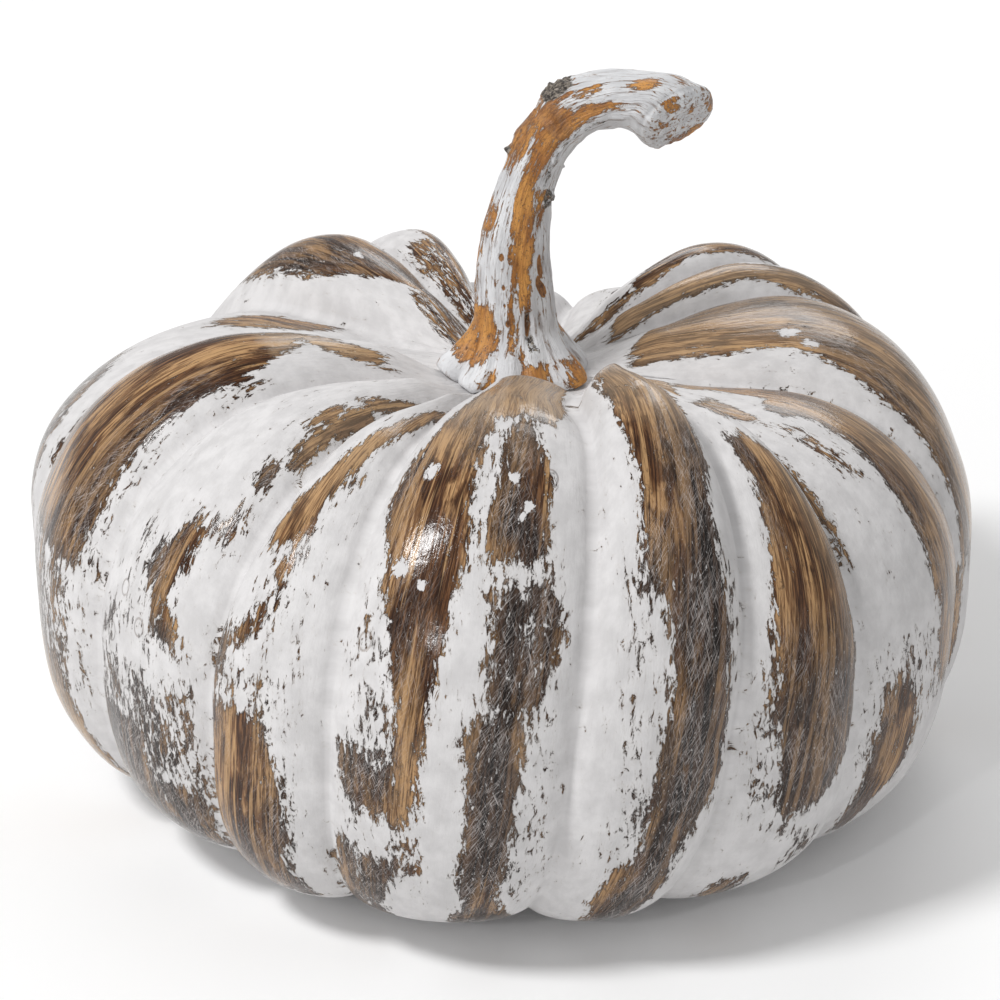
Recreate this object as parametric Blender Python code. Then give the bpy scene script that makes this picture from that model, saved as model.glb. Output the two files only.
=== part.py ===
"""Painted pumpkin figure: a lobed hollow body, a hooked stem glued into its crown, and felt pads.

Metres, +Z up. The pads rest on z = 0, and the middle of the footprint is at the origin.
Azimuth is in degrees from -Y (the front) and grows towards +X (the right).
"""
import math

import bmesh
import bpy
from mathutils import Vector

# Driving dimensions of the body
RADIUS = 0.140                      # nominal radius at the widest level
CROWN_RADIUS = 0.546 * RADIUS       # where the shoulder of a lobe turns into the sunken crown
CROWN_HEIGHT = 0.890 * RADIUS       # height of an average lobe there
DIMPLE_HEIGHT = 0.800 * RADIUS      # bottom of the sunken crown
WIDEST_HEIGHT = 0.462 * RADIUS
BASE_RADIUS = 0.593 * RADIUS
FLAT_RADIUS = 0.500 * RADIUS        # inside this the base has no ribs
BACK_LEAN = 0.097                   # the crown sits back from the base: metres of y for each of z
VALLEY_DEPTH = 0.044                # of the local radius, between two lobes
VALLEY_DROP = 0.062 * RADIUS        # at the crown
VALLEY_LIFT = 0.024 * RADIUS        # at the base
VALLEY_SOFTNESS = 0.10
VALLEY_POWER = 0.50
DIMPLE_POWER = 1.30
SHOULDER_POWER = 1.010              # 1 is an ellipse, less is squarer
LOWER_POWER = 0.720
WALL = 0.006
FIRST_EDGE = -22.0                  # azimuth of the first lobe's left edge

# Each lobe, from the front towards +X: width in degrees, bulge and crown height against the
# average lobe, and the twist in degrees of its left edge from the widest level to the crown
LOBES = (
    (28.0, 0.99, 1.08, 1.5),
    (19.5, 0.98, 1.12, 7.0),
    (20.0, 0.96, 1.02, 9.5),
    (32.0, 0.93, 0.94, 3.0),
    (38.5, 0.94, 1.00, 2.0),
    (18.0, 0.98, 1.00, 5.5),
    (15.0, 1.04, 1.00, 1.5),
    (22.0, 0.99, 0.83, -0.5),
    (20.0, 0.99, 0.83, 0.0),
    (18.0, 1.01, 0.99, -0.5),
    (24.0, 0.92, 1.04, -0.5),
    (37.0, 1.05, 0.92, 4.5),
    (28.0, 0.99, 1.06, 2.0),
    (23.0, 0.95, 1.02, 3.5),
    (17.0, 0.97, 1.01, 4.0),
)

# Rows of the mesh down a meridian, and columns across a lobe
CROWN_ROWS = 5
SHOULDER_ROWS = 8
LOWER_ROWS = 8
BASE_ROWS = 3
LOBE_COLUMNS = 6

# Openings in the shell
SOCKET_RADIUS = 0.013
SOCKET_DEPTH = 0.022
BOSS_RADIUS = 0.023
VENT_RADIUS = 0.015

# Stem: stations up its middle line, as offsets from the crown's axis, with their radii
STEM_SIDES = 24
STEM_FOOT_RADIUS = 0.0215
STEM_FOOT_LOBES = 5
STEM_FOOT_WAVE = 0.08
STEM_STATIONS = (
    # x, height, radius
    (-0.0015, 0.1205, 0.0165),
    (-0.0012, 0.1255, 0.0128),
    (-0.0006, 0.1300, 0.0112),
    (-0.0010, 0.1400, 0.0106),
    (-0.0010, 0.1530, 0.0097),
    (0.0010, 0.1640, 0.0085),
    (0.0040, 0.1740, 0.0082),
    (0.0092, 0.1828, 0.0082),
    (0.0145, 0.1882, 0.0085),
    (0.0212, 0.1911, 0.0086),
    (0.0284, 0.1918, 0.0090),
    (0.0350, 0.1908, 0.0096),
    (0.0412, 0.1888, 0.0105),
    (0.0455, 0.1872, 0.0101),
    (0.0480, 0.1862, 0.0084),
)
STATION_STEPS = 2
TENON_RADIUS = 0.0100
TENON_LENGTH = 0.018
GLUE_RADIUS = 0.0125
GLUE_LENGTH = 0.016
GAP = 0.0004                        # between pieces that touch

# Felt pads
PAD_RADIUS = 0.009
PAD_THICKNESS = 0.002
PAD_CIRCLE = 0.40 * RADIUS
PAD_AZIMUTHS = (45.0, 135.0, 225.0, 315.0)

BASE_HEIGHT = PAD_THICKNESS + GAP   # how far the shell's flat base is above the table

COLOURS = {
    "paint": (0.74, 0.71, 0.67, 1.0),
    "stem": (0.66, 0.50, 0.31, 1.0),
    "glue": (0.80, 0.74, 0.58, 1.0),
    "felt": (0.16, 0.13, 0.11, 1.0),
}


def mix(a, b, k):
    return a + (b - a) * k


def smoothstep(k):
    k = min(max(k, 0.0), 1.0)
    return k * k * (3.0 - 2.0 * k)


def lobe_profile(index, side):
    """Bulge, crown height and fullness across a lobe, where side runs from -1 to 1."""
    _, bulge, crown, _ = LOBES[index]
    neighbour = LOBES[(index + (1 if side > 0 else -1)) % len(LOBES)]
    arch = math.cos(math.pi * side / 2)
    soft = VALLEY_SOFTNESS
    full = (math.hypot(arch, soft) - soft) / (math.hypot(1.0, soft) - soft)
    full = max(full, 0.0) ** VALLEY_POWER
    edge_bulge = (bulge + neighbour[1]) / 2
    edge_crown = (crown + neighbour[2]) / 2
    return mix(edge_bulge, bulge, full), mix(edge_crown, crown, full), full


def columns():
    """Every mesh column round the body: lobe, place across it, azimuth and twist."""
    found = []
    edge = FIRST_EDGE
    for index, (width, _, _, twist) in enumerate(LOBES):
        next_twist = LOBES[(index + 1) % len(LOBES)][3]
        for step in range(LOBE_COLUMNS):
            side = math.sin(math.pi / 2 * (2 * step / LOBE_COLUMNS - 1))
            across = (side + 1) / 2
            found.append((index, side, edge + width * across, mix(twist, next_twist, across)))
        edge += width
    return found


def meridian(index, side):
    """Outer line of one column, from the socket's rim to the vent: (radius, height, turn)."""
    bulge, crown, full = lobe_profile(index, side)
    widest = bulge * RADIUS * (1 - VALLEY_DEPTH * (1 - full))
    rim = crown * CROWN_HEIGHT - VALLEY_DROP * (1 - full)
    line = []
    for row in range(CROWN_ROWS):
        radius = mix(SOCKET_RADIUS, CROWN_RADIUS, row / CROWN_ROWS)
        rise = math.sin(math.pi / 2 * radius / CROWN_RADIUS) ** DIMPLE_POWER
        line.append((radius, mix(DIMPLE_HEIGHT, rim, rise), 1.0))
    for row in range(SHOULDER_ROWS):
        angle = math.pi / 2 * row / SHOULDER_ROWS
        radius = CROWN_RADIUS + (widest - CROWN_RADIUS) * math.sin(angle) ** SHOULDER_POWER
        height = WIDEST_HEIGHT + (rim - WIDEST_HEIGHT) * math.cos(angle) ** SHOULDER_POWER
        line.append((radius, height, 1.0 - row / SHOULDER_ROWS))
    for row in range(LOWER_ROWS + 1):
        angle = math.pi / 2 * row / LOWER_ROWS
        radius = BASE_RADIUS + (widest - BASE_RADIUS) * max(math.cos(angle), 0.0) ** LOWER_POWER
        lift = VALLEY_LIFT * (1 - full)
        height = WIDEST_HEIGHT - (WIDEST_HEIGHT - lift) * math.sin(angle) ** LOWER_POWER
        line.append((radius, height, -row / LOWER_ROWS))
    for row in range(1, BASE_ROWS + 1):
        radius = mix(BASE_RADIUS, VENT_RADIUS, (row / BASE_ROWS) ** 0.7)
        fade = smoothstep((radius - FLAT_RADIUS) / (BASE_RADIUS - FLAT_RADIUS))
        line.append((radius, VALLEY_LIFT * (1 - full) * fade, -1.0))
    return line


def place(radius, height, azimuth, lean_height):
    """A point of the body, whose axis leans back with height."""
    angle = math.radians(azimuth)
    x = radius * math.sin(angle)
    y = BACK_LEAN * lean_height - radius * math.cos(angle)
    return Vector((x, y, height + BASE_HEIGHT))


def make_object(name, bm, material):
    bmesh.ops.recalc_face_normals(bm, faces=bm.faces)
    mesh = bpy.data.meshes.new(name)
    bm.to_mesh(mesh)
    bm.free()
    obj = bpy.data.objects.new(name, mesh)
    bpy.context.scene.collection.objects.link(obj)
    mesh.materials.append(material)
    mesh.shade_smooth()
    mesh.set_sharp_from_angle(angle=math.radians(40))
    return obj


def make_material(name, roughness):
    material = bpy.data.materials.new(name)
    material.use_nodes = True
    shader = material.node_tree.nodes["Principled BSDF"]
    shader.inputs["Base Color"].default_value = COLOURS[name]
    shader.inputs["Roughness"].default_value = roughness
    shader.inputs["Metallic"].default_value = 0.0
    return material


def bridge(bm, rings):
    """Quads between neighbouring rings of vertices."""
    for upper, lower in zip(rings, rings[1:]):
        count = len(upper)
        for i in range(count):
            j = (i + 1) % count
            bm.faces.new((upper[i], lower[i], lower[j], upper[j]))


def make_body(material):
    """A lobed shell with a socket through its crown and a vent through its base."""
    cols = columns()
    grid = []
    for index, side, azimuth, twist in cols:
        line = meridian(index, side)
        points = [place(r, z, azimuth + twist * turn, z) for r, z, turn in line]
        points[0] = place(SOCKET_RADIUS, line[0][1], azimuth + twist, DIMPLE_HEIGHT)
        grid.append(points)
    count = len(cols)
    rows = len(grid[0])

    def inward(i, j):
        """The wall's inner point behind one outer point."""
        along = grid[i][min(j + 1, rows - 1)] - grid[i][j - 1]
        around = grid[(i + 1) % count][j] - grid[i - 1][j]
        return grid[i][j] + along.cross(around).normalized() * -WALL

    bm = bmesh.new()
    rings = [[bm.verts.new(grid[i][j]) for i in range(count)] for j in range(rows)]
    boss_height = DIMPLE_HEIGHT - SOCKET_DEPTH
    angles = [azimuth + twist for _, _, azimuth, twist in cols]
    vent_angles = [azimuth - twist for _, _, azimuth, twist in cols]
    inner = [[place(VENT_RADIUS, WALL, a, 0.0) for a in vent_angles]]
    for j in range(rows - 2, CROWN_ROWS - 3, -2):
        inner.append([inward(i, j) for i in range(count)])
    inner.append([place(BOSS_RADIUS, DIMPLE_HEIGHT - WALL, a, DIMPLE_HEIGHT) for a in angles])
    inner.append([place(BOSS_RADIUS, boss_height, a, DIMPLE_HEIGHT) for a in angles])
    inner.append([place(SOCKET_RADIUS, boss_height, a, DIMPLE_HEIGHT) for a in angles])
    rings += [[bm.verts.new(p) for p in ring] for ring in inner]
    bridge(bm, rings + rings[:1])
    return make_object("body_shell", bm, material)


def crown_surface(azimuth, radius):
    """Height of the sunken crown at an azimuth."""
    edge = FIRST_EDGE
    azimuth = (azimuth - edge) % 360 + edge
    for index, (width, _, _, twist) in enumerate(LOBES):
        next_twist = LOBES[(index + 1) % len(LOBES)][3]
        left = edge + twist
        right = edge + width + next_twist
        if left <= azimuth < right or index == len(LOBES) - 1:
            side = 2 * (azimuth - left) / (right - left) - 1
            _, crown, full = lobe_profile(index, min(max(side, -1.0), 1.0))
            break
        edge += width
    rim = crown * CROWN_HEIGHT - VALLEY_DROP * (1 - full)
    rise = math.sin(math.pi / 2 * radius / CROWN_RADIUS) ** DIMPLE_POWER
    return mix(DIMPLE_HEIGHT, rim, rise)


def catmull(points, steps):
    """A smooth line through points, with steps pieces between each two."""
    ends = [points[0] * 2 - points[1]] + points + [points[-1] * 2 - points[-2]]
    line = []
    for a, b, c, d in zip(ends, ends[1:], ends[2:], ends[3:]):
        for step in range(steps):
            k = step / steps
            line.append(0.5 * (2 * b + (c - a) * k + (2 * a - 5 * b + 4 * c - d) * k * k
                               + (3 * b - a - 3 * c + d) * k ** 3))
    return line + [points[-1]]


def make_stem(material):
    """A root foot on the crown, a shaft, a hook with a wide cut end, and a tenon below."""
    crown_y = BACK_LEAN * DIMPLE_HEIGHT
    bm = bmesh.new()
    turns = [360.0 * i / STEM_SIDES for i in range(STEM_SIDES)]
    tenon_top = DIMPLE_HEIGHT + BASE_HEIGHT + 2 * GAP
    rings = []
    for height in (tenon_top - TENON_LENGTH, tenon_top):
        rings.append([(TENON_RADIUS, a, height) for a in turns])
    foot = []
    for a in turns:
        radius = STEM_FOOT_RADIUS * (1 + STEM_FOOT_WAVE * math.cos(math.radians(STEM_FOOT_LOBES * a)))
        near = [crown_surface(a + d, radius + 0.001) for d in (-12, -6, 0, 6, 12)]
        foot.append((radius, a, max(near) + BASE_HEIGHT + 4 * GAP))
    middle = [((r + TENON_RADIUS) / 2, a, mix(tenon_top, z, 0.72)) for r, a, z in foot]
    rings += [middle, foot, [(r * 0.985, a, z + 0.0022) for r, a, z in foot]]
    loops = []
    for ring in rings:
        loop = []
        for radius, azimuth, height in ring:
            angle = math.radians(azimuth)
            point = (radius * math.sin(angle), crown_y - radius * math.cos(angle), height)
            loop.append(bm.verts.new(point))
        loops.append(loop)
    stations = [Vector((x, z + BASE_HEIGHT, r)) for x, z, r in STEM_STATIONS]
    line = catmull(stations, STATION_STEPS)
    for k, station in enumerate(line):
        ahead = line[min(k + 1, len(line) - 1)] - line[max(k - 1, 0)]
        tangent = Vector((ahead.x, 0, ahead.y)).normalized()
        across = Vector((tangent.z, 0, -tangent.x))
        centre = Vector((station.x, crown_y, station.y))
        loop = []
        for a in turns:
            angle = math.radians(a)
            offset = across * math.sin(angle) - Vector((0, 1, 0)) * math.cos(angle)
            loop.append(bm.verts.new(centre + offset * station.z))
        loops.append(loop)
    bridge(bm, loops)
    bm.faces.new(loops[0])
    bm.faces.new(loops[-1])
    return make_object("stem", bm, material)


def make_glue(material):
    """A sleeve of glue between the tenon and the socket."""
    top = DIMPLE_HEIGHT + BASE_HEIGHT - GAP
    crown_y = BACK_LEAN * DIMPLE_HEIGHT
    outline = (
        (TENON_RADIUS + GAP, top),
        (GLUE_RADIUS, top),
        (GLUE_RADIUS, top - GLUE_LENGTH),
        (TENON_RADIUS + GAP, top - GLUE_LENGTH),
    )
    bm = bmesh.new()
    rings = []
    for radius, height in outline:
        ring = []
        for i in range(STEM_SIDES):
            angle = 2 * math.pi * i / STEM_SIDES
            point = (radius * math.sin(angle), crown_y - radius * math.cos(angle), height)
            ring.append(bm.verts.new(point))
        rings.append(ring)
    bridge(bm, rings + rings[:1])
    return make_object("stem_adhesive", bm, material)


def make_pad(name, azimuth, material):
    """A round felt pad under the flat of the base."""
    bm = bmesh.new()
    bmesh.ops.create_cone(bm, cap_ends=True, segments=28, radius1=PAD_RADIUS, radius2=PAD_RADIUS,
                          depth=PAD_THICKNESS)
    pad = make_object(name, bm, material)
    centre = place(PAD_CIRCLE, 0.0, azimuth, 0.0)
    pad.location = (centre.x, centre.y, PAD_THICKNESS / 2)
    return pad


def centre_footprint(objects):
    """Moves everything so that the middle of the footprint is over the origin."""
    bpy.context.view_layer.update()
    corners = [obj.matrix_world @ v.co for obj in objects for v in obj.data.vertices]
    middle_x = (min(c.x for c in corners) + max(c.x for c in corners)) / 2
    middle_y = (min(c.y for c in corners) + max(c.y for c in corners)) / 2
    frame = bpy.data.objects.new("pumpkin_frame", None)
    bpy.context.scene.collection.objects.link(frame)
    frame.location = (-middle_x, -middle_y, 0.0)
    for obj in objects:
        obj.parent = frame


def main():
    for obj in list(bpy.data.objects):
        bpy.data.objects.remove(obj, do_unlink=True)
    felt = make_material("felt", 0.95)
    pieces = [
        make_body(make_material("paint", 0.45)),
        make_stem(make_material("stem", 0.6)),
        make_glue(make_material("glue", 0.4)),
    ]
    for number, azimuth in enumerate(PAD_AZIMUTHS, start=1):
        pieces.append(make_pad(f"foot_pad_{number}", azimuth, felt))
    centre_footprint(pieces)


main()
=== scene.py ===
"""The looks of the painted pumpkin figure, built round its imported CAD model.

Metres, +Z up. Azimuth is in degrees from -Y (the front) and grows towards +X. A level says how far
down a meridian a point of the body is: 0 at the stem's axis, 1 where the shoulder begins, 2 at the
widest height, 3 at the edge of the base and 4 at the vent.
"""
import math

import bpy
import numpy as np
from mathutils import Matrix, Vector


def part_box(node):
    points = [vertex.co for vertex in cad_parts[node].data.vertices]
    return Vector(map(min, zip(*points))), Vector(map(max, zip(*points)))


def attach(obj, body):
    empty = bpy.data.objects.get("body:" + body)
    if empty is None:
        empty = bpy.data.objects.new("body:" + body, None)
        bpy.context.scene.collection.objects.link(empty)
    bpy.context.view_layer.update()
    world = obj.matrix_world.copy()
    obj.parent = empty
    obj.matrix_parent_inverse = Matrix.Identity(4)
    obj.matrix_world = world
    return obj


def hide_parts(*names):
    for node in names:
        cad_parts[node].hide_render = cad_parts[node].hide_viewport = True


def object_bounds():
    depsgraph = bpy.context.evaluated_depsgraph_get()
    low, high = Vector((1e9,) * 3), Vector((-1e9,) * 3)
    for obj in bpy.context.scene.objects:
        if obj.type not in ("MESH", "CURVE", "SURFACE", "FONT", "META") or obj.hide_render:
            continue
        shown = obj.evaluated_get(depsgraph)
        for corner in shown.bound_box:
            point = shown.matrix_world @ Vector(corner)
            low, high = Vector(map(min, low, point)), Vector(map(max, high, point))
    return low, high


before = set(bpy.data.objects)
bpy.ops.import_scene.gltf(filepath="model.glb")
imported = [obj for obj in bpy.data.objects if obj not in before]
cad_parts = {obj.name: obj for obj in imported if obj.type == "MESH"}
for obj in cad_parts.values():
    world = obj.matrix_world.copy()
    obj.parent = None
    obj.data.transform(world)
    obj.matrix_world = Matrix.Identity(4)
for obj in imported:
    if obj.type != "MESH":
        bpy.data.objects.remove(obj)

CAD_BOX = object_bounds()

# Places read from the frame: the underside of the body and the middle of its crown
BODY_LOW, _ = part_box("body_shell")
GLUE_LOW, GLUE_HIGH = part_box("stem_adhesive")
BASE_Z = BODY_LOW[2]
CROWN_X = (GLUE_LOW[0] + GLUE_HIGH[0]) / 2
CROWN_Y = (GLUE_LOW[1] + GLUE_HIGH[1]) / 2

# The body's driving dimensions, as in the CAD
RADIUS = 0.140
CROWN_RADIUS = 0.546 * RADIUS
CROWN_HEIGHT = 0.890 * RADIUS
DIMPLE_HEIGHT = 0.800 * RADIUS
WIDEST_HEIGHT = 0.462 * RADIUS
BASE_RADIUS = 0.593 * RADIUS
FLAT_RADIUS = 0.500 * RADIUS
BACK_LEAN = 0.097               # how far back the body leans, as a share of the height
VALLEY_DEPTH = 0.044
VALLEY_DROP = 0.062 * RADIUS
VALLEY_LIFT = 0.024 * RADIUS
VALLEY_SOFTNESS = 0.10
VALLEY_POWER = 0.50
DIMPLE_POWER = 1.30
SHOULDER_POWER = 1.010
LOWER_POWER = 0.720
WALL = 0.006
FIRST_EDGE = -22.0
SOCKET_RADIUS = 0.013
SOCKET_DEPTH = 0.022
BOSS_RADIUS = 0.023
VENT_RADIUS = 0.015

# Each lobe, from the front towards +X: width in degrees, bulge, crown height, twist of its left edge
LOBES = (
    (28.0, 0.99, 1.08, 1.5),
    (19.5, 0.98, 1.12, 7.0),
    (20.0, 0.96, 1.02, 9.5),
    (32.0, 0.93, 0.94, 3.0),
    (38.5, 0.94, 1.00, 2.0),
    (18.0, 0.98, 1.00, 5.5),
    (15.0, 1.04, 1.00, 1.5),
    (22.0, 0.99, 0.83, -0.5),
    (20.0, 0.99, 0.83, 0.0),
    (18.0, 1.01, 0.99, -0.5),
    (24.0, 0.92, 1.04, -0.5),
    (37.0, 1.05, 0.92, 4.5),
    (28.0, 0.99, 1.06, 2.0),
    (23.0, 0.95, 1.02, 3.5),
    (17.0, 0.97, 1.01, 4.0),
)

# Round the stem's foot the dimple's floor stays low up to this level, then rises into the lobes' inner ends:
# (azimuth, level). This table and the next one run round from TABLE_START.
TABLE_START = -20
DIMPLE_FLAT = ((-20, 0.15), (8, 0.15), (20, 0.32), (38, 0.30), (60, 0.18), (90, 0.15), (340, 0.15))
DIMPLE_RISE = 0.40

# The front lobe spreads towards +X at its inner end: (azimuth there, push in degrees)
SPREAD = ((-20, 0), (-6, 3), (13, 15), (36, 14), (50, 11), (80, 6), (125, 0), (340, 0))
SPREAD_START = 0.85             # level at which the lobes' inner ends begin
SPREAD_END = 0.35               # level at which they have their full shape
END_ROUNDING = 2.2 * VALLEY_DROP
END_POWER = 1.8
FRONT_LIFT = 0.0038             # how much higher the front lobe's inner end stands

# The visible skin lies a little inside the CAD's, with shallow dents: (cell, seed, height)
SKIN_INSET = 0.0014
DENTS = ((0.045, 3, 0.0009), (0.018, 4, 0.0004))
SKIN_FROM = 0.35                # levels where the inset starts and ends, and over how much it fades
SKIN_TO = 3.1
SKIN_FADE = 0.3

# Mesh of the visible body
COLUMNS_PER_DEGREE = 1.25
COLUMN_CROWDING = 0.75          # how far the columns crowd towards the valleys
CROWN_ROWS = 34
SHOULDER_ROWS = 60
LOWER_ROWS = 60
BASE_ROWS = 10
BASE_CROWDING = 0.7
INNER_STEP = 9                  # every so many rows of the outside are repeated on the inner wall
INNER_TRAVEL = 0.01             # paint length from row to row there

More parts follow.
